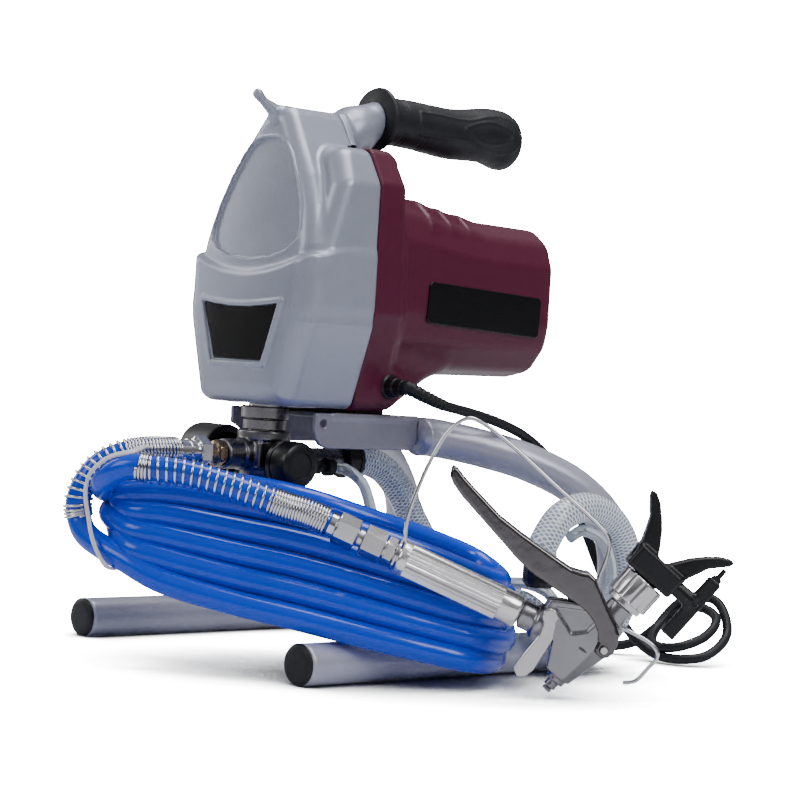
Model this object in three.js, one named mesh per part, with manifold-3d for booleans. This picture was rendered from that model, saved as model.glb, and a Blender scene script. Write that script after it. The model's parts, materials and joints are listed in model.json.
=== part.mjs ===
// Airless paint sprayer on a tube stand, with its hose coil, spray gun, suction set and mains lead.
// Millimetres, +Z up. The machine faces -Y: its nameplate and stand caps point that way, its motor
// lies along +Y, and +X is the side of the prime knob, the rating plate and the mains lead.
import * as THREE from "three";
import { mergeVertices } from "three/addons/utils/BufferGeometryUtils.js";
import Module from "manifold-3d";

// ---------------------------------------------------------------- driving dimensions
// The origin lies under the middle of the machine's box (free hoses and lead left out).
// The stand's front caps are the plane y = 0 and the machine's mid-plane is x = 0 before that shift.
const ORIGIN = { x: 83.5, y: 161.6 };
const GAP = 0.3;                       // between pieces that touch

const TUBE_R = 14;                     // stand tube
const TUBE_Z = TUBE_R - 0.4;           // axis of the tube along the floor: it stands on a narrow flat
const LEG_X = 123.3;                   // half the distance between the stand's legs
const MOTOR_Z = 265;                   // height of the motor's axis
const CRANK_Z = 226.5;                 // height of the crank's axis
const PUMP_Y = 62;                     // the pump stands this far behind the caps
const PUMP_Z = 143;                    // height of the outlet's axis
const STROKE = 12;                     // the piston's travel
const SEAM_Y = 100;                    // where the front cover meets the shroud
const HANDLE_Z = 390;                  // height of the carrying handle's axis
const WALL = 3;

const YAW = THREE.MathUtils.degToRad(47.47);  // the gun and the hose coil lean across this direction
const GUN_REACH = 70;                  // the gun's plane lies this far out along the yawed axis
const HANDLE_TILT = THREE.MathUtils.degToRad(-21.5);  // the gun's handle points down to its body
const NOZZLE_TILT = THREE.MathUtils.degToRad(51.5);   // the nozzle's axis above the horizontal
const GUARD_R = 9;                     // spring guard round the paint hose
const SUCTION_R = 10.8;
const RETURN_R = 4.2;
const CORD_R = 3.7;

const PINION_TEETH = 12;
const GEAR_TEETH = 42;
const PINION_PITCH_R = (MOTOR_Z - CRANK_Z) * PINION_TEETH / (PINION_TEETH + GEAR_TEETH);
const GEAR_PITCH_R = MOTOR_Z - CRANK_Z - PINION_PITCH_R;

// ---------------------------------------------------------------- materials
const paint = (color, roughness = 0.5, metalness = 0) =>
  () => new THREE.MeshStandardMaterial({ color, roughness, metalness });
const GREY = paint(0x969da8, 0.4);
const STAND_GREY = paint(0x82848f, 0.45);
const BURGUNDY = paint(0x4b1c2d, 0.45);
const BLACK = paint(0x16171a, 0.55);
const RUBBER = paint(0x101113, 0.8);
const STEEL = paint(0xb9bcc0, 0.3, 1);
const CHROME = paint(0xd6d8da, 0.12, 1);
const ALLOY = paint(0xa9abb0, 0.4, 1);
const BRASS = paint(0xa08050, 0.35, 1);
const COPPER = paint(0x9a5a30, 0.4, 1);
const BLUE = paint(0x144bd2, 0.2);
const CLEAR = paint(0xd4e2ef, 0.2);
const BOARD = paint(0x1d4a2c, 0.6);

// ---------------------------------------------------------------- geometry helpers
const wasm = await Module();
wasm.setup();

// A geometry as a manifold solid, turned right side out.
function solid(geometry) {
  const bare = (geometry.index ? geometry.toNonIndexed() : geometry.clone());
  bare.deleteAttribute("normal");
  bare.deleteAttribute("uv");
  const merged = mergeVertices(bare, 1e-4);
  const vertProperties = merged.attributes.position.array;
  const triVerts = new Uint32Array(merged.index.array);
  const make = () => new wasm.Manifold(new wasm.Mesh({ numProp: 3, vertProperties, triVerts }));
  const made = make();
  if (made.volume() >= 0) return made;
  for (let i = 0; i < triVerts.length; i += 3) {
    [triVerts[i + 1], triVerts[i + 2]] = [triVerts[i + 2], triVerts[i + 1]];
  }
  return make();
}

const TIDY = 0.01;                     // slivers thinner than this are closed up
function fromSolid(manifold) {
  const { numProp, vertProperties, triVerts } = manifold.simplify(TIDY).getMesh();
  const positions = new Float32Array(vertProperties.length / numProp * 3);
  for (let i = 0; i < positions.length / 3; i++) {
    positions.set(vertProperties.subarray(i * numProp, i * numProp + 3), i * 3);
  }
  return new THREE.BufferGeometry()
    .setAttribute("position", new THREE.BufferAttribute(positions, 3))
    .setIndex(new THREE.BufferAttribute(new Uint32Array(triVerts), 1));
}

const join = (...parts) => fromSolid(parts.map(solid).reduce((a, b) => a.add(b)));
const cut = (body, ...tools) => fromSolid(tools.map(solid).reduce((a, b) => a.subtract(b), solid(body)));
const upright = (geometry) => fromSolid(solid(geometry));

// Solids of revolution start round +Z; alongX and alongY lay them down with their start at the low end.
const turned = (profile, sides = 24) => {
  const points = profile.map(([r, z]) => new THREE.Vector2(r, z));
  return upright(new THREE.LatheGeometry(points, sides).rotateX(Math.PI / 2));
};
const rod = (radius, length, sides = 24) =>
  turned([[0, 0], [radius, 0], [radius, length], [0, length]], sides);
const ring = (outer, inner, length, sides = 24) =>
  turned([[inner, 0], [outer, 0], [outer, length], [inner, length], [inner, 0]], sides);
const hex = (acrossCorners, length) => rod(acrossCorners / 2, length, 6);
const alongX = (geometry) => geometry.rotateY(Math.PI / 2);
const alongY = (geometry) => geometry.rotateX(-Math.PI / 2);
const block = (x0, x1, y0, y1, z0, z1) =>
  new THREE.BoxGeometry(x1 - x0, y1 - y0, z1 - z0).translate((x0 + x1) / 2, (y0 + y1) / 2, (z0 + z1) / 2);

// A plate: an outline in X and Z, given thickness along Y from y0 to y1.
function plate(outline, y0, y1) {
  const shape = new THREE.Shape(outline.map(([x, z]) => new THREE.Vector2(x, z)));
  return new THREE.ExtrudeGeometry(shape, { depth: y1 - y0, bevelEnabled: false, curveSegments: 8 })
    .rotateX(Math.PI / 2)
    .translate(0, y1, 0);
}

// A round bar along a smooth curve through the points.
function bar(points, radius, sides = 10, steps = 24) {
  const angle = (i) => i * 2 * Math.PI / sides;
  const circle = Array.from({ length: sides }, (_, i) =>
    new THREE.Vector2(radius * Math.cos(angle(i)), radius * Math.sin(angle(i))));
  const path = new THREE.CatmullRomCurve3(points.map((p) => new THREE.Vector3(...p)), false, "centripetal");
  return new THREE.ExtrudeGeometry(new THREE.Shape(circle), { steps, extrudePath: path, bevelEnabled: false });
}

// A polygon with rounded corners: [x, z, radius] each, corner arcs of `parts` chords.
function rounded(corners, parts = 3) {
  const points = [];
  const count = corners.length;
  corners.forEach(([x, z, r], i) => {
    const corner = new THREE.Vector2(x, z);
    const before = new THREE.Vector2(...corners[(i + count - 1) % count]).sub(corner).normalize();
    const after = new THREE.Vector2(...corners[(i + 1) % count]).sub(corner).normalize();
    const start = corner.clone().addScaledVector(before, r);
    const end = corner.clone().addScaledVector(after, r);
    points.push(...new THREE.QuadraticBezierCurve(start, corner, end).getPoints(parts));
  });
  return points;
}

// Skin over sections of equal point count; each section is a list of Vector3. A closed skin has no ends.
function loft(sections, closed = false) {
  const count = sections[0].length;
  const positions = sections.flat().flatMap((p) => [p.x, p.y, p.z]);
  const index = [];
  const rows = closed ? sections.length : sections.length - 1;
  for (let r = 0; r < rows; r++) {
    const next = (r + 1) % sections.length;
    for (let i = 0; i < count; i++) {
      const j = (i + 1) % count;
      index.push(r * count + i, next * count + i, next * count + j);
      index.push(r * count + i, next * count + j, r * count + j);
    }
  }
  if (!closed) {
    for (const [row, flip] of [[0, false], [sections.length - 1, true]]) {
      const middle = positions.length / 3;
      const centre = sections[row].reduce((sum, p) => sum.add(p), new THREE.Vector3()).divideScalar(count);
      positions.push(centre.x, centre.y, centre.z);
      for (let i = 0; i < count; i++) {
        const pair = [row * count + i, row * count + (i + 1) % count];
        index.push(middle, ...(flip ? pair.reverse() : pair));
      }
    }
  }
  const geometry = new THREE.BufferGeometry();
  geometry.setAttribute("position", new THREE.Float32BufferAttribute(positions, 3));
  geometry.setIndex(index);
  return upright(geometry);
}
const sectionY = (y, corners, parts) => rounded(corners, parts).map((p) => new THREE.Vector3(p.x, y, p.y));
const sectionZ = (z, corners, parts) => rounded(corners, parts).map((p) => new THREE.Vector3(p.x, p.y, z));

const model = new THREE.Group();
model.position.set(-ORIGIN.x, -ORIGIN.y, 0);

function piece(name, geometry, material, parent = model) {
  const mesh = new THREE.Mesh(geometry, material());
  mesh.name = name;
  parent.add(mesh);
  return mesh;
}

// ---------------------------------------------------------------- stand
const underFloor = () => block(-200, 200, -50, 400, -20, 0);

// One leg: along the floor, up round the rear bend, then forward and inward to the bracket.
function standTube(side) {
  const route = [
    [LEG_X, 3, TUBE_Z], [LEG_X, 110, TUBE_Z], [LEG_X, 225, TUBE_Z], [LEG_X, 262, 17], [LEG_X - 1, 294, 34],
    [LEG_X - 4, 309, 66], [LEG_X - 9, 305, 100], [LEG_X - 20, 281, 127], [LEG_X - 38, 247, 145],
    [LEG_X - 58, 212, 155], [LEG_X - 71, 188, 159.5], [LEG_X - 75.5, 174, 161], [LEG_X - 75.5, 166, 161],
  ];
  return cut(bar(route.map(([x, y, z]) => [side * x, y, z]), TUBE_R, 14, 34), underFloor());
}

function legCap(side) {
  const profile = [[0, 0], [TUBE_R - 1.2, 0], [TUBE_R, 1.2], [TUBE_R, 3 - GAP], [0, 3 - GAP]];
  return cut(alongY(turned(profile, 20)).translate(side * LEG_X, 0, TUBE_Z), underFloor());
}

// U-shaped saddle: a top plate under the housing and two cheeks that the tubes are welded to.
function standBracket() {
  const cheekOutline = [
    [68, 175], [68, 162], [71, 155], [78, 150.5], [165.5, 150.5], [165.5, 175],
  ];
  const shape = new THREE.Shape(cheekOutline.map(([y, z]) => new THREE.Vector2(y, z)));
  const cheek = (x) => new THREE.ExtrudeGeometry(shape, { depth: 4, bevelEnabled: false })
    .rotateX(Math.PI / 2).rotateZ(Math.PI / 2).translate(x, 0, 0);
  const knobClearance = alongX(rod(23, 20)).translate(-62, PUMP_Y, PUMP_Z - 2);
  return cut(join(cheek(44), cheek(-48), block(-48, 48, 84, 165.5, 171.5, 175.2)), knobClearance);
}

piece("stand_tube_right", standTube(1), STAND_GREY);
piece("stand_tube_left", standTube(-1), STAND_GREY);
piece("leg_cap_right", legCap(1), RUBBER);
piece("leg_cap_left", legCap(-1), RUBBER);
piece("stand_bracket", standBracket(), STAND_GREY);
piece("bracket_pad", block(-40, 40, 112, 138, 175.5, 179.7), RUBBER);

// ---------------------------------------------------------------- front cover
// Lower body, side shoulders and the wedge-shaped crest, joined and hollowed from behind.
const lowerCorners = (bottom, half, top, r) => [
  [-half * 0.74, bottom, r], [half * 0.74, bottom, r], [half, bottom + 58, r],
  [half, top, r], [-half, top, r], [-half, bottom + 58, r],
];
const shoulderCorners = (half, top) => [
  [-half, 240, 6], [half, 240, 6], [half, top - 24, 10], [half - 15, top, 10], [-half + 15, top, 10],
  [-half, top - 24, 10],
];
const CREST_EDGE_R = 12;
const crestCorners = (half, front, back) => {
  const r = Math.min(CREST_EDGE_R, half * 0.7);
  return [[-half, front, r], [half, front, r], [half, back, 3], [-half, back, 3]];
};

function coverShape() {
  const lower = loft([
    sectionY(33, lowerCorners(190, 52, 272, 10)),
    sectionY(35.5, lowerCorners(185, 57, 279, 10)),
    sectionY(41, lowerCorners(181, 62.5, 284, 10)),
    sectionY(52, lowerCorners(178.5, 66, 288, 10)),
    sectionY(SEAM_Y, lowerCorners(178.5, 66, 292, 10)),
  ]);
  const shoulders = loft([
    sectionY(49, shoulderCorners(58, 306)),
    sectionY(53, shoulderCorners(62.5, 330)),
    sectionY(59, shoulderCorners(64.6, 348)),
    sectionY(68, shoulderCorners(65.2, 357)),
    sectionY(SEAM_Y, shoulderCorners(65.3, 362)),
  ]);
  const crest = loft([
    sectionZ(270, crestCorners(61, 40, SEAM_Y)),
    sectionZ(291, crestCorners(60, 39.5, SEAM_Y)),
    sectionZ(317, crestCorners(53.5, 43, SEAM_Y)),
    sectionZ(345, crestCorners(40, 47.5, SEAM_Y)),
    sectionZ(363.2, crestCorners(26.5, 50.5, SEAM_Y)),
    sectionZ(365, crestCorners(25.5, 50.8, SEAM_Y + 4)),
    sectionZ(383, crestCorners(15, 54, SEAM_Y + 4)),
    sectionZ(388.5, crestCorners(11, 57, SEAM_Y + 4)),
  ]);
  const hook = loft([
    sectionY(60, [[-11, 376, 3], [11, 376, 3], [11, 389, 3], [-11, 389, 3]]),
    sectionY(52, [[-9, 380, 2], [9, 380, 2], [9, 391, 3], [-9, 391, 3]]),
    sectionY(44, [[-8, 387, 2], [8, 387, 2], [8, 395, 3], [-8, 395, 3]]),
    sectionY(37, [[-7.5, 390, 2.5], [7.5, 390, 2.5], [7.5, 398, 2.5], [-7.5, 398, 2.5]]),
  ]);
  return join(lower, shoulders, crest, hook);
}

function frontCover() {
  const inner = join(
    loft([
      sectionY(33 + WALL + 6, lowerCorners(184.5, 55, 279, 9)),
      sectionY(SEAM_Y + 1, lowerCorners(184.5, 62.5, 288, 9)),
    ]),
    loft([
      sectionY(57, shoulderCorners(56, 306)),
      sectionY(66, shoulderCorners(60.5, 344)),
      sectionY(SEAM_Y + 1, shoulderCorners(61.6, 358)),
    ]),
    loft([
      sectionZ(265, crestCorners(56, 46, SEAM_Y + 1)),
      sectionZ(317, crestCorners(46, 49, SEAM_Y + 1)),
      sectionZ(345, crestCorners(32, 53, SEAM_Y + 1)),
      sectionZ(366, crestCorners(20, 57, SEAM_Y + 6)),
      sectionZ(380, crestCorners(11, 62, SEAM_Y + 6)),
    ]),
  );
  const pumpHole = rod(18, 20).translate(0, PUMP_Y, 170);
  return cut(coverShape(), inner, pumpHole);
}

// A thin printed plate with a dished top edge on the cover's front face.
function nameplate() {
  const outline = [[-41, 248.5], [-27, 209.5], [27, 209.5], [41, 248.5], [20, 246.8], [-20, 246.8]];
  return upright(plate(outline, 31.4, 33 - GAP));
}

piece("front_cover", frontCover(), GREY);
piece("nameplate", nameplate(), BLACK);

// ---------------------------------------------------------------- carrying handle
// A casting bolted to the top of the drive housing; its horn carries the rubber grip.
function handleCasting() {
  const square = (half, low, high, r) => [[-half, low, r], [half, low, r], [half, high, r], [-half, high, r]];
  const horn = loft([
    sectionY(SEAM_Y + 4 + GAP + 0.2, square(21, 352, 387.5, 7)),
    sectionY(121, square(19, 355, 392, 8)),
    sectionY(133, square(16, 368, 400, 10)),
    sectionY(146.5, square(13.5, 377, 404, 11)),
  ]);
  const core = alongY(rod(8, 129, 12)).translate(0, 144, HANDLE_Z);
  const foot = block(-18, 18, SEAM_Y + 1, 109, 300 + GAP, 368);
  return join(horn, core, foot);
}

function handleGrip() {
  const bore = 8 + GAP;
  const profile = [
    [bore, 0], [22.5, 0], [23.5, 2.5], [21, 6], [17.2, 9.5], [16.8, 38], [17.8, 72], [16.8, 102],
    [18.2, 120], [20.8, 131], [19.5, 136], [14, 138], [0, 138], [0, 129.6], [bore, 129.6], [bore, 0],
  ];
  return alongY(turned(profile, 24)).translate(0, 148, HANDLE_Z);
}

piece("handle_casting", handleCasting(), GREY);
piece("handle_grip", handleGrip(), RUBBER);

// ---------------------------------------------------------------- motor shroud
const flangeCorners = (half, top, r) => [
  [-49, 180, 8], [49, 180, 8], [50, 205, 8], [half, 248, r], [half, top - 24, r], [half - 14, top, r],
  [-half + 14, top, r], [-half, top - 24, r], [-half, 248, r], [-50, 205, 8],
];
const barrelCorners = (half, bottom, top, r) => {
  const low = bottom + (top - bottom) * 0.3;
  const high = top - (top - bottom) * 0.22;
  return [
    [-half * 0.45, bottom, r], [half * 0.45, bottom, r], [half * 0.9, bottom + 17, r], [half, low, r],
    [half, high, r], [half * 0.72, top, r], [-half * 0.72, top, r], [-half, high, r], [-half, low, r],
    [-half * 0.9, bottom + 17, r],
  ];
};
const BARREL_END = 289;

function motorShroud() {
  const y0 = SEAM_Y + GAP;
  const outer = join(
    loft([
      sectionY(y0, flangeCorners(66, 363, 14)), sectionY(118, flangeCorners(65, 362, 14)),
      sectionY(128, flangeCorners(61, 354, 14)), sectionY(130, flangeCorners(58, 350, 14)),
    ]),
    loft([
      sectionY(125, barrelCorners(61.5, 204, 338, 9)), sectionY(150, barrelCorners(61.5, 205, 334, 9)),
      sectionY(185, barrelCorners(61, 205, 327, 9)), sectionY(220, barrelCorners(60, 206, 322, 9)),
      sectionY(280, barrelCorners(58, 207, 321, 9)), sectionY(286, barrelCorners(56, 209, 319, 9)),
      sectionY(BARREL_END, barrelCorners(52, 213, 315, 9)),
    ]),
    skirt(49, 180, 0),
  );
  const inner = join(
    loft([sectionY(y0 - 1, flangeCorners(62.5, 359, 12)), sectionY(124, flangeCorners(60, 354, 12))]),
    loft([
      sectionY(122, barrelCorners(57.5, 209, 330, 8)), sectionY(185, barrelCorners(57, 210, 322, 8)),
      sectionY(282, barrelCorners(54, 212, 316, 8)),
    ]),
    skirt(45.5, 184, 3.5),
  );
  const vents = [];
  for (const x of [-27, -18, -9, 0, 9, 18, 27]) {
    vents.push(block(x - 2.2, x + 2.2, BARREL_END - 12, BARREL_END + 5, MOTOR_Z - 30, MOTOR_Z + 30));
  }
  const seat = cut(
    alongY(rod(17, 26)).translate(0, BARREL_END - 29, MOTOR_Z),
    alongY(rod(13.3, 24)).translate(0, BARREL_END - 32, MOTOR_Z),
  );
  const footNotch = block(-21.6, 21.6, SEAM_Y - 1, 126, 345, 366);
  const glandHole = alongX(rod(6.3, 14)).translate(40, 132, 196);
  const switchHole = block(-56, -38, 106, 130, 187, 201);
  return cut(join(cut(outer, inner, ...vents), seat), glandHole, switchHole, footNotch);
}

// The pod under the shroud that holds the control board, the switch and the gland.
function skirt(half, bottom, inset) {
  const corners = (low, h) => [[-h, low, 6], [h, low, 6], [h, 232, 4], [-h, 232, 4]];
  const front = SEAM_Y + GAP - (inset ? 1 : 0);
  return loft([
    sectionY(front, corners(bottom, half)), sectionY(140 - inset, corners(bottom, half)),
    sectionY(156 - inset, corners(bottom + 12, half)), sectionY(188 - inset, corners(bottom + 31, half - 6)),
  ]);
}

// A thin plate that follows the barrel's side; no lettering.
function ratingLabel() {
  return upright(block(61.9, 62.7, 158, 262, 242, 271));
}

function cordGland() {
  const body = turned([
    [0, 0], [9, 0], [9, 3], [7.4, 4], [7, 9], [5.8, 10], [5.2, 17], [0, 17],
  ], 16);
  const stem = rod(6, 8, 16).translate(0, 0, -7);
  return join(body, stem).rotateY(Math.PI / 2).translate(50.4, 132, 196);
}

function powerSwitchFrame() {
  return cut(block(-51.6, -42, 106.3, 129.7, 187.3, 200.7), block(-53, -44.5, 107.8, 128.2, 189.5, 198.5));
}

piece("motor_shroud", motorShroud(), BURGUNDY);
piece("rating_label", ratingLabel(), BLACK);
piece("cord_gland", cordGland(), RUBBER);
piece("power_switch", powerSwitchFrame(), BLACK);
piece("power_rocker", powerRocker(), BLACK);

// Rocker that tips about a vertical pin in the middle of the switch.
function powerRocker() {
  const outline = [[-50.2, 118], [-52.6, 109.6], [-46.8, 109.6], [-45.2, 118], [-46.8, 126.4], [-50.6, 126.4]];
  const shape = new THREE.Shape(outline.map(([x, y]) => new THREE.Vector2(x, y)));
  return new THREE.ExtrudeGeometry(shape, { depth: 8, bevelEnabled: false }).translate(0, 0, 190);
}

// ---------------------------------------------------------------- drive inside the housing
function driveHousing() {
  const back = block(-42, 42, 97 + GAP, 110, 188, 300);
  const web = block(-30, 30, 44, 110, 185.5, 194.8);
  return cut(
    join(back, web),
    alongY(rod(13.3, 40)).translate(0, 90, MOTOR_Z),
    alongY(rod(8.4, 40)).translate(0, 90, CRANK_Z),
    rod(12.3, 30).translate(0, PUMP_Y, 175),
    block(-43, -30, 90, 111, 240, 301), block(30, 43, 90, 111, 240, 301),
  );
}

// Trapezoid teeth with backlash, round +Z from z = 0, with a tooth or a gap at angle `phase`.
function gearBlank(teeth, pitchR, width, phase) {
  const module = 2 * pitchR / teeth;
  const points = [];
  for (let i = 0; i < teeth; i++) {
    const middle = phase + i * 2 * Math.PI / teeth;
    const step = 2 * Math.PI / teeth;
    for (const [share, radius] of [
      [-0.3, pitchR - 1.0 * module], [-0.12, pitchR + 0.7 * module],
      [0.12, pitchR + 0.7 * module], [0.3, pitchR - 1.0 * module],
    ]) {
      const angle = middle + share * step;
      points.push(new THREE.Vector2(radius * Math.cos(angle), radius * Math.sin(angle)));
    }
  }
  return upright(new THREE.ExtrudeGeometry(new THREE.Shape(points), { depth: width, bevelEnabled: false }));
}

function motorRotor() {
  const shaft = alongY(rod(5, 198, 16)).translate(0, 81, MOTOR_Z);
  const core = alongY(rod(26, 62, 20)).translate(0, 146, MOTOR_Z);
  const commutator = alongY(rod(14, 15, 20)).translate(0, 216, MOTOR_Z);
  const pinion = alongY(gearBlank(PINION_TEETH, PINION_PITCH_R, 12, -Math.PI / 2)).translate(0, 81, MOTOR_Z);
  return join(shaft, core, commutator, pinion);
}

function motorFan() {
  const hub = ring(12, 5 + GAP, 12, 16);
  const backPlate = ring(46, 11, 2, 24);
  const blades = [];
  for (let i = 0; i < 9; i++) {
    blades.push(block(11, 45, -0.9, 0.9, 1, 12).rotateZ(i * 2 * Math.PI / 9));
  }
  return alongY(join(hub, backPlate, ...blades)).translate(0, 236, MOTOR_Z);
}

function driveGear() {
  const halfStep = Math.PI / GEAR_TEETH;
  const gear = alongY(gearBlank(GEAR_TEETH, GEAR_PITCH_R, 9, Math.PI / 2 + halfStep)).translate(0, 83, CRANK_Z);
  const shaft = alongY(rod(8, 41, 16)).translate(0, 67.5, CRANK_Z);
  const web = alongY(rod(15, 5, 20)).translate(0, 71.5, CRANK_Z);
  const pin = alongY(rod(4, 18, 12)).translate(STROKE / 2, 55, CRANK_Z);
  return join(gear, shaft, web, pin);
}

// Yoke and piston in one: the crank pin runs in the yoke's window, open by a stroke each way.
function pistonYoke() {
  const window = STROKE + 4 + 0.5;
  const frame = cut(
    block(-17, 17, 56.5, 66.9, CRANK_Z - window - 5, CRANK_Z + window + 5),
    block(-11, 11, 50, 70, CRANK_Z - window, CRANK_Z + window),
  );
  return join(frame, rod(5.5, 62, 16).translate(0, 61.7, CRANK_Z - window - 66));
}

const BEARING = () => ring(13, 5 + GAP, 9, 20);
piece("drive_housing", driveHousing(), ALLOY);
piece("motor_rotor", motorRotor(), COPPER);
piece("motor_fan", motorFan(), BLACK);
piece("motor_stator", alongY(cut(rod(45, 62, 24), rod(27.5, 64, 24).translate(0, 0, -1)))
  .translate(0, 146, MOTOR_Z), STEEL);
piece("front_bearing", alongY(BEARING()).translate(0, 98, MOTOR_Z), STEEL);
piece("rear_bearing", alongY(BEARING()).translate(0, 262, MOTOR_Z), STEEL);
piece("drive_gear", driveGear(), STEEL);
piece("piston_yoke", pistonYoke(), STEEL);
piece("control_board", block(-38, 38, 112, 134, 189, 191), BOARD);

// ---------------------------------------------------------------- pump
const atPump = (geometry, z) => geometry.translate(0, PUMP_Y, z);

function pumpManifold() {
  const tower = atPump(rod(16.5, 25.2), 127.8);
  const flange = atPump(rod(19, 7), 153);
  const outlet = alongY(rod(10.5, 38, 20)).translate(0, 25, PUMP_Z);
  const inletArm = alongY(rod(8.5, 74, 16)).translate(0, PUMP_Y, 140);
  const body = join(tower, flange, outlet, inletArm);
  return cut(body, atPump(rod(12.3, 30), 148), atPump(rod(6.2, 30), 134));
}

const pumpCylinder = () => atPump(ring(12, 6, 47, 20), 148 + GAP);

function knob(radius, length, ribs) {
  const parts = [turned([[0, 0], [radius - 1.5, 0], [radius - 1, length - 3], [radius - 3, length], [0, length]])];
  for (let i = 0; i < ribs; i++) {
    parts.push(block(radius - 3, radius, -1.1, 1.1, 0.5, length - 4).rotateZ(i * 2 * Math.PI / ribs));
  }
  return join(...parts);
}

function primeValve() {
  const body = alongX(rod(9, 4, 16)).translate(16.6, PUMP_Y, 138);
  const arm = block(17, 22, PUMP_Y - 6, 98, 131, 141);
  const barb = alongY(rod(3.4, 14, 12)).translate(19.5, 97, 136);
  return cut(join(body, arm, barb), atPump(rod(16.8, 60), 110));
}

const hollowKnob = () => cut(knob(20.5, 33, 12), rod(17, 18).translate(0, 0, -1));

piece("pump_manifold", pumpManifold(), STEEL);
piece("pump_cylinder", pumpCylinder(), STEEL);
piece("pump_collar", atPump(ring(17, 12.3, 8.8), 168.3), STEEL);
piece("lock_ring", atPump(ring(15.3, 12.3, 7.6), 160.4), STEEL);
piece("inlet_valve", atPump(turned([[0, 0], [9, 0], [9, 4], [13, 4], [13, 17.5], [0, 17.5]], 6), 110), STEEL);
piece("outlet_fitting", alongY(join(rod(7, 13.7, 16), hex(17, 6).translate(0, 0, 7)))
  .translate(0, 11, PUMP_Z), BRASS);
piece("pressure_sensor", alongX(rod(11, 24, 16)).translate(-41, PUMP_Y, 141), STEEL);
piece("pressure_knob", alongX(hollowKnob()).rotateZ(Math.PI).translate(-42, PUMP_Y, 141), BLACK);
piece("prime_valve", primeValve(), BLACK);
piece("prime_knob", alongX(knob(16.5, 21, 10)).translate(22.5, PUMP_Y, 138), BLACK);
piece("suction_clamp", alongY(ring(13.2, 8.5 + GAP, 15, 16)).translate(0, 134, 140), RUBBER);

// ---------------------------------------------------------------- gun and hose, leaning across the front
const leaning = new THREE.Group();
leaning.rotation.z = YAW;
model.add(leaning);
const out = (s, d, z) => [s, -d, z];   // along the lean, out towards the front right, up

const HANDLE_START = [152.5, 84.4];    // hose end of the gun's handle, along the lean and up
function alongHandle(geometry, from) {
  return geometry
    .rotateY(Math.PI / 2)
    .translate(from, 0, 0)
    .rotateY(-HANDLE_TILT)
    .translate(HANDLE_START[0], -GUN_REACH, HANDLE_START[1]);
}

const NUT_FACE = [309, 81.5];          // front centre of the nut that holds the tip guard
// Places a shape drawn with x along the nozzle and z across it.
function atNozzle(geometry) {
  return geometry
    .rotateY(-NOZZLE_TILT)
    .translate(NUT_FACE[0], -GUN_REACH, NUT_FACE[1]);
}
const flat = (outline, half) => upright(plate(outline, -half, half));
const gunPlate = (outline, near, far) => upright(plate(outline, -near, -far));

function gunInlet() {
  return alongHandle(join(
    rod(6, 31, 14), hex(20.6, 15).translate(0, 0, 3.5), hex(18.6, 6.8).translate(0, 0, 19.5),
  ), -37);
}

function gunHandle() {
  return alongHandle(join(rod(9, 7, 20).translate(0, 0, -5.5), rod(11.5, 80.7, 20)), 0);
}

function gunBody() {
  const outline = [
    [243, 62], [246, 66.5], [258, 65.5], [273, 64], [284, 60], [296, 45], [286, 28], [262, 9.5],
    [247, 21], [250, 40], [240, 46],
  ];
  const body = gunPlate(outline, GUN_REACH + 12, GUN_REACH - 12);
  const collar = alongHandle(rod(10.4, 18, 20), 81);
  const neck = atNozzle(alongX(rod(9, 20, 16)).translate(-34, 0, 0));
  const packing = atNozzle(alongX(rod(8.5, 18, 6)).translate(-92, 0, 0));
  const screw = atNozzle(alongX(rod(6, 8, 12)).translate(-98, 0, 0));
  const hook = bar([
    out(290, GUN_REACH, 50), out(304, GUN_REACH, 46), out(318, GUN_REACH, 37.6), out(320.5, GUN_REACH, 31.5),
    out(309, GUN_REACH, 16), out(298.6, GUN_REACH, 12.6),
  ], 1.4, 8, 20);
  return join(body, collar, neck, packing, screw, hook);
}

// A channel lever: two cheeks beside the body joined by the finger blade.
const TRIGGER_PIVOT = [283.4, 34.7];
function gunTrigger() {
  const cheek = [
    [276, 31], [283, 27.5], [291, 31], [293.5, 45], [285, 62.6], [278, 77], [271.5, 84], [260, 86],
    [242, 97.5], [228, 106], [222, 96], [231, 84.5], [254, 69.5], [269, 59], [277, 47],
  ];
  const blade = [
    [176.5, 146.4], [182, 146.6], [190, 136], [211, 118], [242, 97.5], [250, 92], [238, 79.5], [231, 84.5],
    [212, 101.6], [186, 130],
  ];
  const half = 12.5;
  const pinHole = gunCross(2.9, 60);
  return cut(
    join(
      gunPlate(cheek, GUN_REACH + half + 2.4, GUN_REACH + half),
      gunPlate(cheek, GUN_REACH - half, GUN_REACH - half - 2.4),
      gunPlate(blade, GUN_REACH + half + 0.1, GUN_REACH - half - 0.1),
    ),
    pinHole,
  );
}

// A bar across the gun at the trigger's pivot.
function gunCross(radius, length) {
  return rod(radius, length, 16)
    .translate(0, 0, -length / 2)
    .rotateX(Math.PI / 2)
    .translate(TRIGGER_PIVOT[0], -GUN_REACH, TRIGGER_PIVOT[1]);
}

function triggerLock() {
  const outline = [
    [243.5, 54], [247, 60.5], [252, 57], [249, 40], [238, 19], [227, 14.5], [225, 20], [238, 38],
  ];
  return gunPlate(outline, GUN_REACH + 16.6, GUN_REACH + 12.6);
}

function triggerGuard() {
  const route = [
    [148.2, 95.5], [150, 112], [162, 149], [172, 169], [180, 177.5], [187, 180.5], [196, 177.5],
    [216, 164], [250, 136.5], [276, 115.5], [283.5, 107], [283.5, 98], [278, 78], [277.5, 67.5],
  ];
  const wire = bar(route.map(([s, z]) => out(s, GUN_REACH, z)), 1.4, 8, 40);
  const eye = alongHandle(ring(10.6, 7.1, 2, 20), -9.2);
  return join(wire, eye);
}

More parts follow.
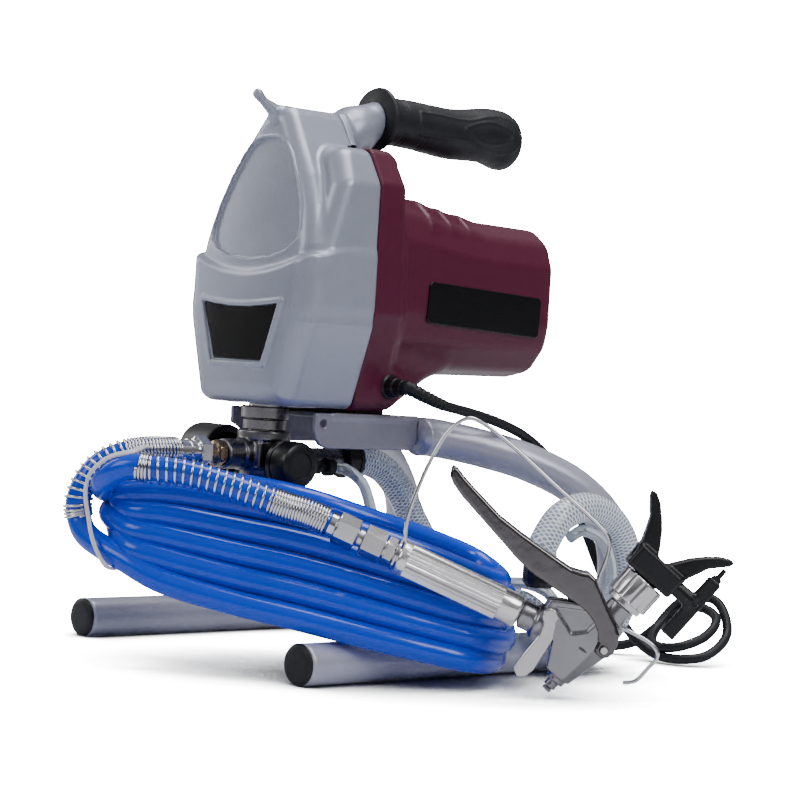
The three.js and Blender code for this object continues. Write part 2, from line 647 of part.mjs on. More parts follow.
function retainingNut() {
  const parts = [ring(14, 9.3, 22, 24)];
  for (let i = 0; i < 12; i++) {
    parts.push(block(12.5, 15, -1.8, 1.8, 2, 21).rotateZ(i * Math.PI / 6));
  }
  return atNozzle(alongX(join(...parts)).translate(-22.5, 0, 0));
}

// The guard's base, with a horn each side of the spray and a cross bore for the tip.
function tipGuard() {
  const horn = (side) => flat([
    [9, 10], [9, 18], [20, 20], [34, 26], [45, 36], [47.5, 33], [44, 27], [31, 14], [20, 6], [12, 4],
  ].map(([a, b]) => [a, side * b]), 8);
  const base = join(alongX(rod(8.8, 18.5, 16)).translate(-13, 0, 0), block(0.2, 17, -12, 12, -18, 18));
  const spray = alongX(rod(4, 30, 12)).translate(8, 0, 0);
  const bore = rod(5.3, 60, 16).translate(9.5, 0, -30);
  return atNozzle(cut(join(base, horn(1), horn(-1)), spray, bore));
}

// Barrel of the reversible tip with its T-shaped grip, drawn across the nozzle.
function sprayTip() {
  const barrel = rod(5, 44, 16).translate(9.5, 0, -33);
  const grip = block(-18, 30, -2.6, 2.6, -40, -30);
  const arrow = block(29, 40, -1.6, 1.6, -37.5, -32.5);
  const stem = block(4.5, 14.5, -3.4, 3.4, -32, -20);
  const hole = rod(1.6, 20, 10).rotateX(Math.PI / 2).translate(9.5, 10, -36);
  return atNozzle(cut(join(barrel, grip, arrow, stem), hole));
}

piece("gun_inlet", gunInlet(), STEEL, leaning);
piece("gun_handle", gunHandle(), ALLOY, leaning);
piece("gun_body", cut(gunBody(), gunCross(2.6, 40)), STEEL, leaning);
piece("gun_trigger", gunTrigger(), CHROME, leaning);
piece("trigger_pin", gunCross(2.3, 33), STEEL, leaning);
piece("trigger_lock", triggerLock(), STEEL, leaning);
piece("trigger_guard", triggerGuard(), CHROME, leaning);
piece("retaining_nut", retainingNut(), ALLOY, leaning);
piece("tip_guard", tipGuard(), BLACK, leaning);
piece("spray_tip", sprayTip(), BLACK, leaning);

// ---------------------------------------------------------------- hoses and mains lead
const REST_Z = 0.3;

// Sections of the bundled hose, given along the lean: the outward distance and height of each
// section's upper front, lower front, lower back and upper back corners.
const HANK = [
  [-59, [42, 112], [48, 86], [4, 84], [0, 112]],
  [-48, [47, 124], [64, 72], [-26, 92], [-12, 126]],
  [-10, [54, 127], [78, 50], [-46, 88], [-6, 130]],
  [35, [54, 122], [82, 40], [-48, 84], [8, 128]],
  [80, [54, 115], [83, 32], [-48, 74], [14, 122]],
  [125, [54, 104], [81, 24], [-54, 61], [6, 110]],
  [165, [52, 92], [75, 15], [-62, 44], [-12, 97]],
  [200, [46, 80], [64, 8], [-56, 34], [-22, 86]],
  [224, [28, 66], [34, 14], [-18, 26], [-14, 72]],
];
const HANK_EDGE_R = 9;

// The hose bundled into a long hank that lies across the near leg, grooved where it rests on it.
function hoseHank() {
  const sections = HANK.map(([along, ...corners]) =>
    rounded(corners.map(([d, z]) => [d, z, HANK_EDGE_R])).map((p) => new THREE.Vector3(along, -p.x, p.y)));
  const legGroove = alongY(rod(TUBE_R + 1, 300, 16)).translate(LEG_X, -20, TUBE_R).rotateZ(-YAW);
  return cut(loft(sections), legGroove);
}

function hoseGuardGun() {
  return bar([
    out(-49, 66, 113), out(-40, 67, 127), out(-24, 68.5, 134.5), out(5, 69.5, 132.5), out(42, 70, 123.5),
    out(70, 70, 114.5), out(84.2, 70, 111.4), out(97.2, 70, 106.3),
  ], GUARD_R, 10, 16);
}

function hoseSwivelGun() {
  return alongHandle(join(hex(20.6, 15.5), rod(8.4, 6, 14).translate(0, 0, -5)), -53);
}

const HOSE_PUMP_Z = PUMP_Z + 1;
function hoseGuardPump() {
  return bar([
    [0, -15.3, HOSE_PUMP_Z], [0, -24, HOSE_PUMP_Z], [-4, -38, HOSE_PUMP_Z - 0.5], [-12, -52, HOSE_PUMP_Z - 4],
    [-19.5, -64, HOSE_PUMP_Z - 12], [-24.5, -71, HOSE_PUMP_Z - 24], [-26.5, -74.5, HOSE_PUMP_Z - 38],
    [-25, -73, HOSE_PUMP_Z - 50],
  ], GUARD_R, 10, 16);
}

function hoseSwivelPump() {
  return alongY(join(rod(8, 25.4, 16), hex(20.6, 9).translate(0, 0, 16.4))).translate(0, -15, HOSE_PUMP_Z);
}

piece("hose_coil", hoseHank(), BLUE, leaning);
piece("hose_guard_gun", hoseGuardGun(), BLUE, leaning);
piece("hose_swivel_gun", hoseSwivelGun(), CHROME, leaning);
piece("hose_guard_pump", hoseGuardPump(), BLUE);
piece("hose_swivel_pump", hoseSwivelPump(), CHROME);

// Loop of suction hose that hangs outside the near leg: centre, radius, and the plane it lies in.
const LOOP = { x: 150, y: 237, z: 69, r: 50 };
const STRAINER = { y: 196, top: 86 };
const onLoop = (degrees, radius = LOOP.r, x = LOOP.x) => {
  const angle = THREE.MathUtils.degToRad(degrees);
  return [x, LOOP.y + radius * Math.cos(angle), LOOP.z + radius * Math.sin(angle)];
};

function suctionHose() {
  return bar([
    [0, 149.4, 140], [0, 158, 140], [1, 176, 134], [4, 193, 117], [9, 204, 95], [20, 213, 74], [44, 220, 58],
    [76, 219, 50], [106, 212, 47], [130, 204, 46], [142, 207, 38], onLoop(-118), onLoop(-90), onLoop(-60),
    onLoop(-30), onLoop(0), onLoop(30), onLoop(60), onLoop(90), onLoop(120, 49),
    onLoop(148, 46.5), [LOOP.x, STRAINER.y, 90], [LOOP.x, STRAINER.y, STRAINER.top],
  ], SUCTION_R, 10, 44);
}

function returnTube() {
  const inner = LOOP.r - SUCTION_R - RETURN_R - 1.5;
  return bar([
    [19.5, 111.8, 136], [19.6, 122, 135], [21, 139, 125], [22, 148, 107], [24, 154, 86], [34, 164, 69],
    [62, 178, 60], [94, 188, 60], [118, 195, 62.5], [134, 202, 63], [145, 210, 58],
    onLoop(-138, inner - 4), onLoop(-110, inner), onLoop(-90, inner),
    onLoop(-45, inner), onLoop(0, inner), onLoop(45, inner), onLoop(90, inner), onLoop(115, inner - 2),
  ], RETURN_R, 8, 44);
}

const returnClip = () => alongY(ring(6.6, 3.4 + GAP, 6, 12)).translate(19.5, 104, 136);

function strainer() {
  const basket = turned([[0, 0], [9.5, 0], [12.5, 4], [12.5, 17], [11, 20], [11, 22.5], [0, 22.5]], 16);
  return basket.translate(LOOP.x, STRAINER.y, STRAINER.top - 22.5 - GAP);
}

piece("suction_hose", suctionHose(), CLEAR);
piece("return_tube", returnTube(), CLEAR);
piece("return_clip", returnClip(), RUBBER);
piece("strainer", strainer(), BLACK);

function mainsCord() {
  return bar([
    [68.1, 132, 196], [71.5, 132.2, 196], [77, 140, 192], [80, 158, 185.6], [80, 186, 180.6],
    [79, 217, 174.2], [76, 250, 163.7], [77, 275, 147], [84, 302, 108], [93, 326, 58], [103, 342, 24],
    [118, 352, 8], [140, 354, 4.4], [158, 372, 8], [156, 398, 24], [134, 408, 46],
    [112, 398, 44], [106, 374, 22], [120, 356, 12.5], [142, 356, 13], [152, 378, 22], [146, 396, 34],
    [126, 398, 40], [108, 386, 30], [92, 366, 10], [70, 346, 4.4], [40, 328, 4.4], [0, 316, 4.4],
    [-30, 314, 4.4],
  ], CORD_R, 8, 74);
}

// The spare lead, wound two turns wide and two high, with the plug beside it.
const COIL_AT = { x: -55, y: 265 };
const mainsCoil = () => ring(48.5, 33, 14.8, 24).translate(COIL_AT.x, COIL_AT.y, REST_Z);

function mainsPlug() {
  const body = alongX(turned([[0, 0], [6, 0], [9, 10], [14, 24], [17, 28], [17, 38], [0, 38]], 16));
  const pin = (y) => alongX(rod(2.4, 19.5, 10)).translate(37.5, y, 0);
  return join(body, pin(-9.5), pin(9.5)).translate(COIL_AT.x + 36, COIL_AT.y - 50, 17 + REST_Z);
}

piece("mains_cord", mainsCord(), RUBBER);
piece("mains_coil", mainsCoil(), RUBBER);
piece("mains_plug", mainsPlug(), RUBBER);

export default model;
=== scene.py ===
"""Looks of the airless paint sprayer: camera, hoses and lead, moulded covers, gun and finishes."""

import json
import math

import bpy
import numpy as np
from mathutils import Matrix, Vector


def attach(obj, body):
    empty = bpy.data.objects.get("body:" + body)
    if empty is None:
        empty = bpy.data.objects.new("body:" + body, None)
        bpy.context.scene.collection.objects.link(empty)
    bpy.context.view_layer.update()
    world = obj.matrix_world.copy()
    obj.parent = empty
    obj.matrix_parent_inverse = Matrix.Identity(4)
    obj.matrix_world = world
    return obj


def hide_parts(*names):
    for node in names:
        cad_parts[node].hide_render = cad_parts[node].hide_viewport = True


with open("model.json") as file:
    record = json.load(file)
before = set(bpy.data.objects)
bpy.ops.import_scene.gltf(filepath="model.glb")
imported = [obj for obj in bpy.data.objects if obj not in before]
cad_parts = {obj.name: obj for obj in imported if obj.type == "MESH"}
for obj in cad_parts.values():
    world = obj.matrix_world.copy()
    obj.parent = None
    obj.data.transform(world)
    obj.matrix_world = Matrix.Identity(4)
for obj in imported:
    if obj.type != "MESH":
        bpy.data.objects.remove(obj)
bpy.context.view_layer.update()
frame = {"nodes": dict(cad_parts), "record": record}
NODES = frame["nodes"]
MM = 0.001
ORIGIN = np.array([83.5, 161.6, 0.0])   # millimetres: the row's origin in the machine's own frame
YAW = math.radians(47.47)               # gun and hose coil lean across this direction
GUN_REACH = 70.0                        # how far outwards the gun's own plane lies
IMAGE_SIZE, FOCAL = 800, 2283.28        # camera: picture side and focal length in the same unit
SENSOR = 36


def at(x, y, z):
    """A point of the machine's own frame, in millimetres, as metres in the row's frame."""
    return (np.array([x, y, z], float) - ORIGIN) * MM


def lean(s, d, z):
    """A point given along the lean, outwards from it and up, in millimetres."""
    c, n = math.cos(YAW), math.sin(YAW)
    return at(s * c + d * n, s * n - d * c, z)


# ------------------------------------------------------------------ camera
def make_camera():
    azimuth, pitch, roll = (math.radians(a) for a in (47.47, 1.18, 3.56))
    level_ahead = Vector((-math.sin(azimuth), math.cos(azimuth), 0)) * math.cos(pitch)
    forward = level_ahead + Vector((0, 0, -math.sin(pitch)))
    level = Vector((math.cos(azimuth), math.sin(azimuth), 0))
    down = forward.cross(level)
    right = math.cos(roll) * level - math.sin(roll) * down
    below = math.sin(roll) * level + math.cos(roll) * down
    data = bpy.data.cameras.new("camera")
    data.sensor_width = SENSOR
    data.lens = FOCAL / IMAGE_SIZE * SENSOR
    data.clip_start, data.clip_end = 0.05, 50
    data.dof.use_dof = False
    cam = bpy.data.objects.new("camera", data)
    bpy.context.scene.collection.objects.link(cam)
    axes = Matrix((right, -below, -forward)).transposed()
    cam.matrix_world = Matrix.Translation(Vector(at(1253.76, -959.62, 220.57))) @ axes.to_4x4()
    bpy.context.scene.camera = cam


make_camera()


# ------------------------------------------------------------------ paths and meshes
def smooth(points, step):
    """A centripetal Catmull-Rom curve through the points, in equal steps of about `step`."""
    p = np.array(points, float)
    p = np.vstack([2 * p[0] - p[1], p, 2 * p[-1] - p[-2]])
    out = []
    for p0, p1, p2, p3 in zip(p, p[1:], p[2:], p[3:]):
        t1 = np.linalg.norm(p1 - p0) ** 0.5
        t2 = t1 + np.linalg.norm(p2 - p1) ** 0.5
        t3 = t2 + np.linalg.norm(p3 - p2) ** 0.5
        t = np.linspace(t1, t2, 24, endpoint=False)[:, None]
        a1 = (t1 - t) / t1 * p0 + t / t1 * p1
        a2 = (t2 - t) / (t2 - t1) * p1 + (t - t1) / (t2 - t1) * p2
        a3 = (t3 - t) / (t3 - t2) * p2 + (t - t2) / (t3 - t2) * p3
        b1 = (t2 - t) / t2 * a1 + t / t2 * a2
        b2 = (t3 - t) / (t3 - t1) * a2 + (t - t1) / (t3 - t1) * a3
        out.append((t2 - t) / (t2 - t1) * b1 + (t - t1) / (t2 - t1) * b2)
    out.append(p[-2][None])
    return even(np.vstack(out), step)


def lengths(line):
    return np.concatenate([[0], np.cumsum(np.linalg.norm(np.diff(line, axis=0), axis=1))])


def even(line, step):
    run = lengths(line)
    where = np.linspace(0, run[-1], max(2, int(round(run[-1] / step)) + 1))
    return np.stack([np.interp(where, run, line[:, k]) for k in range(3)], 1)


def frames(line):
    """Tangents and two normals carried along the line without twist."""
    tangent = np.gradient(line, axis=0)
    tangent /= np.linalg.norm(tangent, axis=1)[:, None]
    side = np.cross(tangent[0], [0, 0, 1.0])
    if np.linalg.norm(side) < 1e-3:
        side = np.array([1.0, 0, 0])
    sides = []
    for t in tangent:
        side = side - t * side.dot(t)
        side = side / np.linalg.norm(side)
        sides.append(side)
    sides = np.array(sides)
    return tangent, sides, np.cross(tangent, sides)


def mesh_object(name, verts, faces, uvs=None, flat=False):
    mesh = bpy.data.meshes.new(name)
    mesh.from_pydata([tuple(v) for v in verts], [], [tuple(f) for f in faces])
    if uvs is not None:
        layer = mesh.uv_layers.new(name="UVMap")
        layer.data.foreach_set("uv", np.array(uvs, float).reshape(-1))
    if not flat:
        mesh.polygons.foreach_set("use_smooth", [True] * len(mesh.polygons))
    obj = bpy.data.objects.new(name, mesh)
    bpy.context.scene.collection.objects.link(obj)
    return obj


def tube_faces(rows, sides):
    """Faces between rings of vertices, ring after ring."""
    return [(i * sides + j, i * sides + k, (i + 1) * sides + k, (i + 1) * sides + j)
            for i in range(rows - 1) for j in range(sides) for k in [(j + 1) % sides]]


def end_faces(rows, sides):
    """The flat face over the first ring and over the last."""
    first = tuple(range(sides - 1, -1, -1))
    return [first, tuple((rows - 1) * sides + j for j in range(sides))]


def sweep(name, line, radius, sides=16):
    """A tube along the line; radius is one number or one per point. U runs in metres, V once round."""
    line = np.asarray(line, float)
    count = len(line)
    radii = np.full(count, radius) if np.isscalar(radius) else np.asarray(radius, float)
    _, a, b = frames(line)
    turn = np.arange(sides) * 2 * math.pi / sides
    ring = np.cos(turn)[None, :, None] * a[:, None] + np.sin(turn)[None, :, None] * b[:, None]
    verts = (line[:, None] + ring * radii[:, None, None]).reshape(-1, 3)
    run = lengths(line)
    uvs = []
    for a, b in zip(run, run[1:]):
        for j in range(sides):
            low, high = j / sides, (j + 1) / sides
            uvs += [(a, low), (a, high), (b, high), (b, low)]
    uvs += [(run[0], 0.5)] * sides + [(run[-1], 0.5)] * sides
    return mesh_object(name, verts, tube_faces(count, sides) + end_faces(count, sides), uvs)


WIRE_STEPS = 22     # straight steps in one turn of a spring


def spring(name, line, radius, wire, pitches):
    """A wire wound round the line. pitches gives the pitch at each share of the length."""
    run = lengths(line)
    total = run[-1]
    _, a, b = frames(line)
    angle, at_length, angles, places = 0.0, 0.0, [], []
    share, pitch = np.array(pitches).T
    while at_length < total:
        angles.append(angle)
        places.append(at_length)
        angle += 2 * math.pi / WIRE_STEPS
        at_length += np.interp(at_length / total, share, pitch) / WIRE_STEPS
    places, angles = np.array(places), np.array(angles)
    pick = lambda rows: np.stack([np.interp(places, run, rows[:, k]) for k in range(3)], 1)
    centre, u, v = pick(line), pick(a), pick(b)
    wound = centre + radius * (np.cos(angles)[:, None] * u + np.sin(angles)[:, None] * v)
    return sweep(name, wound, wire, 9)


def lathe(name, profile, start, direction, sides=48, flutes=None):
    """A body of revolution: profile of (radius, distance) in millimetres from start along direction."""
    axis = np.array(direction, float) / np.linalg.norm(direction)
    u = np.cross(axis, [0, 0, 1.0])
    if np.linalg.norm(u) < 1e-6:
        u = np.array([1.0, 0, 0])
    u /= np.linalg.norm(u)
    v = np.cross(axis, u)
    verts = []
    for r, t in profile:
        for j in range(sides):
            angle = j * 2 * math.pi / sides
            radius = r if flutes is None else flutes(r, t, angle)
            verts.append(start + MM * (t * axis + radius * (math.cos(angle) * u + math.sin(angle) * v)))
    rows = len(profile)
    obj = mesh_object(name, verts, tube_faces(rows, sides) + end_faces(rows, sides))
    obj.data.set_sharp_from_angle(angle=math.radians(38))
    return obj


# ------------------------------------------------------------------ finishes
def set_inputs(node, **values):
    """Gives a shader node's inputs their values; underscores stand for the spaces in an input's name."""
    for name, value in values.items():
        node.inputs[name.replace("_", " ")].default_value = value
    return node


def material(name, color, rough=0.5, metal=0.0, grain=None, mottle=None, coat=0.0, transmission=0.0,
             tint=None, specular=None):
    """A plain finish: grain is (scale, height in metres) and mottle is (scale, roughness swing).

    The mottle runs between a darker color and a lighter tint.
    """
    mat = bpy.data.materials.new(name)
    mat.use_nodes = True
    node, link = mat.node_tree.nodes, mat.node_tree.links
    shader = set_inputs(node["Principled BSDF"], Base_Color=(*color, 1), Roughness=rough, Metallic=metal,
                        Coat_Weight=coat, Coat_Roughness=0.08, Transmission_Weight=transmission)
    if specular is not None:
        set_inputs(shader, Specular_IOR_Level=specular)
    where = node.new("ShaderNodeTexCoord").outputs["Object"]
    if mottle:
        cloud = set_inputs(node.new("ShaderNodeTexNoise"), Scale=mottle[0], Detail=6)
        span = set_inputs(node.new("ShaderNodeMapRange"), From_Min=0.3, From_Max=0.7,
                          To_Min=max(0.02, rough - mottle[1]), To_Max=min(1, rough + mottle[1]))
        link.new(where, cloud.inputs["Vector"])
        link.new(cloud.outputs["Fac"], span.inputs["Value"])
        link.new(span.outputs["Result"], shader.inputs["Roughness"])
        blend = node.new("ShaderNodeMix")
        blend.data_type = "RGBA"
        darker, lighter = [c * 0.88 for c in color], [min(1, c * 1.1) for c in (tint or color)]
        set_inputs(blend, A=(*darker, 1), B=(*lighter, 1))
        link.new(cloud.outputs["Fac"], blend.inputs["Factor"])
        link.new(blend.outputs["Result"], shader.inputs["Base Color"])
    if grain:
        fine = set_inputs(node.new("ShaderNodeTexNoise"), Scale=grain[0], Detail=4)
        link.new(where, fine.inputs["Vector"])
        bump = set_inputs(node.new("ShaderNodeBump"), Distance=grain[1], Strength=0.6)
        link.new(fine.outputs["Fac"], bump.inputs["Height"])
        link.new(bump.outputs["Normal"], shader.inputs["Normal"])
    return mat


GREY = material("grey_paint", (0.34, 0.365, 0.45), 0.36, 0.35, grain=(900, 0.00006), mottle=(14, 0.05),
                coat=0.15)
STAND = material("stand_paint", (0.43, 0.44, 0.54), 0.34, 0.35, grain=(700, 0.00006), mottle=(20, 0.05),
                 coat=0.2)
# painted shade: the stand paint darkened for the bracket, which is lit less than the tubes
STAND_PAINTED_SHADE = material("stand_paint_painted_shade", (0.27, 0.27, 0.33), 0.36, 0.4, grain=(700, 0.00006),
                      mottle=(20, 0.05), coat=0.15)
WINE = material("burgundy_paint", (0.088, 0.006, 0.028), 0.4, 0.05, grain=(800, 0.00006), mottle=(10, 0.05),
                coat=0.1, specular=0.3)
PLATE = material("black_plate", (0.002, 0.002, 0.0025), 0.22, 0, mottle=(30, 0.04), coat=0.08,
                 specular=0.25)
BLACK = material("black_plastic", (0.006, 0.006, 0.008), 0.36, 0, grain=(1500, 0.00005), mottle=(40, 0.08),
                 specular=0.4)
RUBBER = material("black_rubber", (0.008, 0.009, 0.012), 0.46, 0, grain=(1800, 0.00007), mottle=(30, 0.1),
                  specular=0.32)
STEEL = material("machined_steel", (0.68, 0.66, 0.67), 0.24, 1, grain=(260, 0.00004), mottle=(60, 0.08))
COLLAR = material("turned_steel", (0.3, 0.29, 0.3), 0.3, 1, grain=(300, 0.00004), mottle=(60, 0.1))
DARK_STEEL = material("dark_steel", (0.2, 0.195, 0.21), 0.3, 1, grain=(300, 0.00004), mottle=(60, 0.1))
CHROME = material("polished_steel", (0.72, 0.72, 0.74), 0.1, 1, mottle=(40, 0.04))
DARK_CHROME = material("dark_chrome", (0.15, 0.14, 0.145), 0.13, 1, grain=(38, 0.0009), mottle=(40, 0.04))
ALLOY = material("cast_alloy", (0.33, 0.325, 0.345), 0.26, 1, grain=(420, 0.00006), mottle=(35, 0.08))
FLUTED = material("fluted_alloy", (0.86, 0.84, 0.84), 0.22, 0.85, grain=(300, 0.00004), mottle=(50, 0.05))
BRASS = material("brass", (0.36, 0.28, 0.19), 0.25, 1, mottle=(60, 0.07))
COPPER = material("copper_winding", (0.45, 0.18, 0.07), 0.35, 1, grain=(500, 0.0001), mottle=(60, 0.08))
BOARD = material("circuit_board", (0.02, 0.12, 0.04), 0.4, 0, mottle=(50, 0.08))
BLUE = material("blue_hose", (0.001, 0.045, 0.58), 0.2, 0, grain=(60, 0.0002), mottle=(12, 0.04), coat=0.3,
                tint=(0.002, 0.06, 0.7), specular=0.35)
TIE = material("white_tie", (0.7, 0.7, 0.73), 0.35, 0, mottle=(60, 0.06))

SLOT_MATERIAL = {
    "grey_paint": GREY, "stand_paint": STAND, "burgundy_paint": WINE, "black_plate": PLATE,
    "black_plastic": BLACK, "black_rubber": RUBBER, "machined_steel": STEEL, "polished_steel": CHROME,
    "cast_alloy": ALLOY, "brass": BRASS, "copper_winding": COPPER, "circuit_board": BOARD, "blue_hose": BLUE,
}


THREAD_HALF = 0.16      # half a thread's width, as a share of the distance between threads


def braided(name, thread, lines, round_count):
    """Clear tube with a crossed thread inside: so many lines to the metre and once round the tube."""
    mat = bpy.data.materials.new(name)
    mat.use_nodes = True
    node, link = mat.node_tree.nodes, mat.node_tree.links
    shader = set_inputs(node["Principled BSDF"], Roughness=0.12, Coat_Weight=0.4, IOR=1.3)
    uv = node.new("ShaderNodeUVMap")
    split = node.new("ShaderNodeSeparateXYZ")
    link.new(uv.outputs["UV"], split.inputs["Vector"])

    def math_node(kind, a, b=None, c=None):
        n = node.new("ShaderNodeMath")
        n.operation = kind
        for i, value in enumerate((a, b, c)):
            if value is None:
                continue
            if isinstance(value, (int, float)):
                n.inputs[i].default_value = value
            else:
                link.new(value, n.inputs[i])
        return n.outputs["Value"]

    along = math_node("MULTIPLY", split.outputs["X"], lines)
    masks = []
    for sign in (1, -1):
        slant = math_node("MULTIPLY_ADD", split.outputs["Y"], sign * round_count, along)
        wave = math_node("PINGPONG", slant, 0.5)
        masks.append(math_node("LESS_THAN", wave, THREAD_HALF))
    mesh_mask = math_node("MAXIMUM", masks[0], masks[1])
    mix = node.new("ShaderNodeMix")
    mix.data_type = "RGBA"
    set_inputs(mix, A=(0.50, 0.60, 0.74, 1), B=(*thread, 1))
    link.new(mesh_mask, mix.inputs["Factor"])
    link.new(mix.outputs["Result"], shader.inputs["Base Color"])
    clear = math_node("MULTIPLY_ADD", mesh_mask, -0.45, 0.55)
    link.new(clear, shader.inputs["Transmission Weight"])
    return mat


BRAID = braided("braided_hose", (0.92, 0.95, 1.0), 330, 10)
CLEAR = material("clear_tube", (0.82, 0.9, 0.98), 0.08, 0, mottle=(20, 0.03), transmission=0.75)


def paint(obj, mat):
    obj.data.materials.clear()
    obj.data.materials.append(mat)
    return obj


NODE_SLOT = {s["node"]: s["material_slot"] for s in frame["record"]["subparts"]}
for node_name, node_obj in NODES.items():
    paint(node_obj, SLOT_MATERIAL.get(NODE_SLOT[node_name], CLEAR))
    node_obj.data.polygons.foreach_set("use_smooth", [True] * len(node_obj.data.polygons))
    node_obj.data.set_sharp_from_angle(angle=math.radians(32))


def piece(obj, body, slot, mat, *stands_for):
    """A made piece: painted, riding on its body, and shown in place of the nodes named."""
    paint(obj, mat)
    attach(obj, body)
    if stands_for:
        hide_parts(*stands_for)
    return obj


# ------------------------------------------------------------------ distance fields
# A shape is a field of signed distances in millimetres, less than zero inside, on a regular grid.
class Grid:
    def __init__(self, low, high, step):
        self.low, self.step = np.array(low, float), step
        self.axes = [np.arange(a, b + step, step) for a, b in zip(low, high)]
        self.x, self.y, self.z = np.meshgrid(*self.axes, indexing="ij", sparse=True)


def outline(points, u, v):
    """Signed distance to a closed polygon."""
    u, v = np.broadcast_arrays(u, v)
    nearest = np.full(u.shape, 1e9)
    crossings = np.zeros(u.shape, bool)
    for (a, b), (c, d) in zip(points, points[1:] + points[:1]):
        eu, ev = c - a, d - b
        share = np.clip(((u - a) * eu + (v - b) * ev) / (eu * eu + ev * ev), 0, 1)
        nearest = np.minimum(nearest, (u - a - share * eu) ** 2 + (v - b - share * ev) ** 2)
        if b != d:
            crossings ^= ((v >= b) != (v >= d)) & (u < a + (v - b) * eu / ev)
    return np.where(crossings, -1, 1) * np.sqrt(nearest)


def rounded(a, b, r):
    """Both at once, with a rounded edge of radius r where the two surfaces meet."""
    a, b = a + r, b + r
    return np.sqrt(np.maximum(a, 0) ** 2 + np.maximum(b, 0) ** 2) + np.minimum(np.maximum(a, b), 0) - r


def merged(a, b, k):
    """Either, with a fillet about k wide in the corner between them."""
    h = np.maximum(k - np.abs(a - b), 0) / k
    return np.minimum(a, b) - h * h * k / 4


def carved(a, b, k=0.4):
    """The first without the second."""
    return -merged(-a, b, k)


def capsule(g, a, b, ra, rb):
    """A round bar from a to b that tapers from ra to rb."""
    a, b = np.array(a, float), np.array(b, float)
    d = b - a
    t = ((g.x - a[0]) * d[0] + (g.y - a[1]) * d[1] + (g.z - a[2]) * d[2]) / d.dot(d)
    t = np.clip(t, 0, 1)
    away = (g.x - a[0] - t * d[0]) ** 2 + (g.y - a[1] - t * d[1]) ** 2 + (g.z - a[2] - t * d[2]) ** 2
    return np.sqrt(away) - (ra + (rb - ra) * t)


def skin(name, g, field, place, keep=1.0):
    """The field's zero surface, with one point in each grid cell that it crosses."""
    field = np.ascontiguousarray(np.broadcast_to(field, tuple(len(a) for a in g.axes)))
    inside = field < 0
    shape = np.array(field.shape) - 1
    corners = [(i, j, k) for i in (0, 1) for j in (0, 1) for k in (0, 1)]
    window = lambda c: tuple(slice(o, o + n) for o, n in zip(c, shape))
    filled = sum(inside[window(c)].astype(np.int8) for c in corners)
    cells = np.argwhere((filled > 0) & (filled < 8))
    number = np.full(shape, -1)
    number[tuple(cells.T)] = np.arange(len(cells))
    total, hits = np.zeros((len(cells), 3)), np.zeros(len(cells))
    for axis in range(3):
        unit = np.eye(3, dtype=int)[axis]
        for corner in (c for c in corners if c[axis] == 0):
            start = cells + corner
            fa, fb = field[tuple(start.T)], field[tuple((start + unit).T)]
            crossed = (fa < 0) != (fb < 0)
            share = np.divide(fa, fa - fb, out=np.zeros_like(fa), where=crossed)
            total[crossed] += (np.array(corner) + share[:, None] * unit)[crossed]
            hits[crossed] += 1
    points = g.low + g.step * (cells + total / hits[:, None])
    quads = []
    for axis in range(3):
        u, v = np.eye(3, dtype=int)[(axis + 1) % 3], np.eye(3, dtype=int)[(axis + 2) % 3]
        ends = [slice(None)] * 3, [slice(None)] * 3
        ends[0][axis], ends[1][axis] = slice(0, -1), slice(1, None)
        low, high = inside[tuple(ends[0])], inside[tuple(ends[1])]
        for flip, mask in ((False, low & ~high), (True, ~low & high)):
            p = np.argwhere(mask)
            for other in ((axis + 1) % 3, (axis + 2) % 3):
                p = p[(p[:, other] > 0) & (p[:, other] < shape[other])]
            ring = [number[tuple((p - o).T)] for o in (0 * u, u, u + v, v)]
            quads.append(np.stack(ring[::-1] if flip else ring, 1))
    start = place(0, 0, 0)
    axes = np.array([place(1, 0, 0), place(0, 1, 0), place(0, 0, 1)]) - start
    quads = np.vstack(quads)
    if np.linalg.det(axes) < 0:
        quads = quads[:, ::-1]
    obj = mesh_object(name, (start + points @ axes).tolist(), quads.tolist())
    if keep < 1:
        obj.modifiers.new("thin", "DECIMATE").ratio = keep
        settle(obj)
        obj.data.polygons.foreach_set("use_smooth", [True] * len(obj.data.polygons))
    return obj


def settle(obj):
    """The object's mesh as its modifiers leave it."""
    graph = bpy.context.evaluated_depsgraph_get()
    shaped = bpy.data.meshes.new_from_object(obj.evaluated_get(graph))
    old = obj.data
    obj.modifiers.clear()
    obj.data = shaped
    bpy.data.meshes.remove(old)
    return obj


def mirrored(right):
    """A closed outline from the points of its right half, listed from the bottom up."""
    return right + [(-x, z) for x, z in reversed(right) if x > 0]


# ------------------------------------------------------------------ covers and handle
SEAM = 100.0        # where the cover meets the shroud
WALL = 3.4          # of the cover and the shroud
CREST = [(61, 262), (60.5, 292), (57.5, 306), (53.5, 319), (48.5, 330), (43, 341), (36, 352), (28.5, 363),
         (21, 374), (15, 383), (10, 388.5)]
GLAND_Y, GLAND_Z = 132, 196
SHAFT_Z = 265


def cover_front(x, z):
    """How far forward the crest's gently domed, sloping face lies."""
    return 39.6 + 0.155 * (z - 291) + 0.0009 * x * x


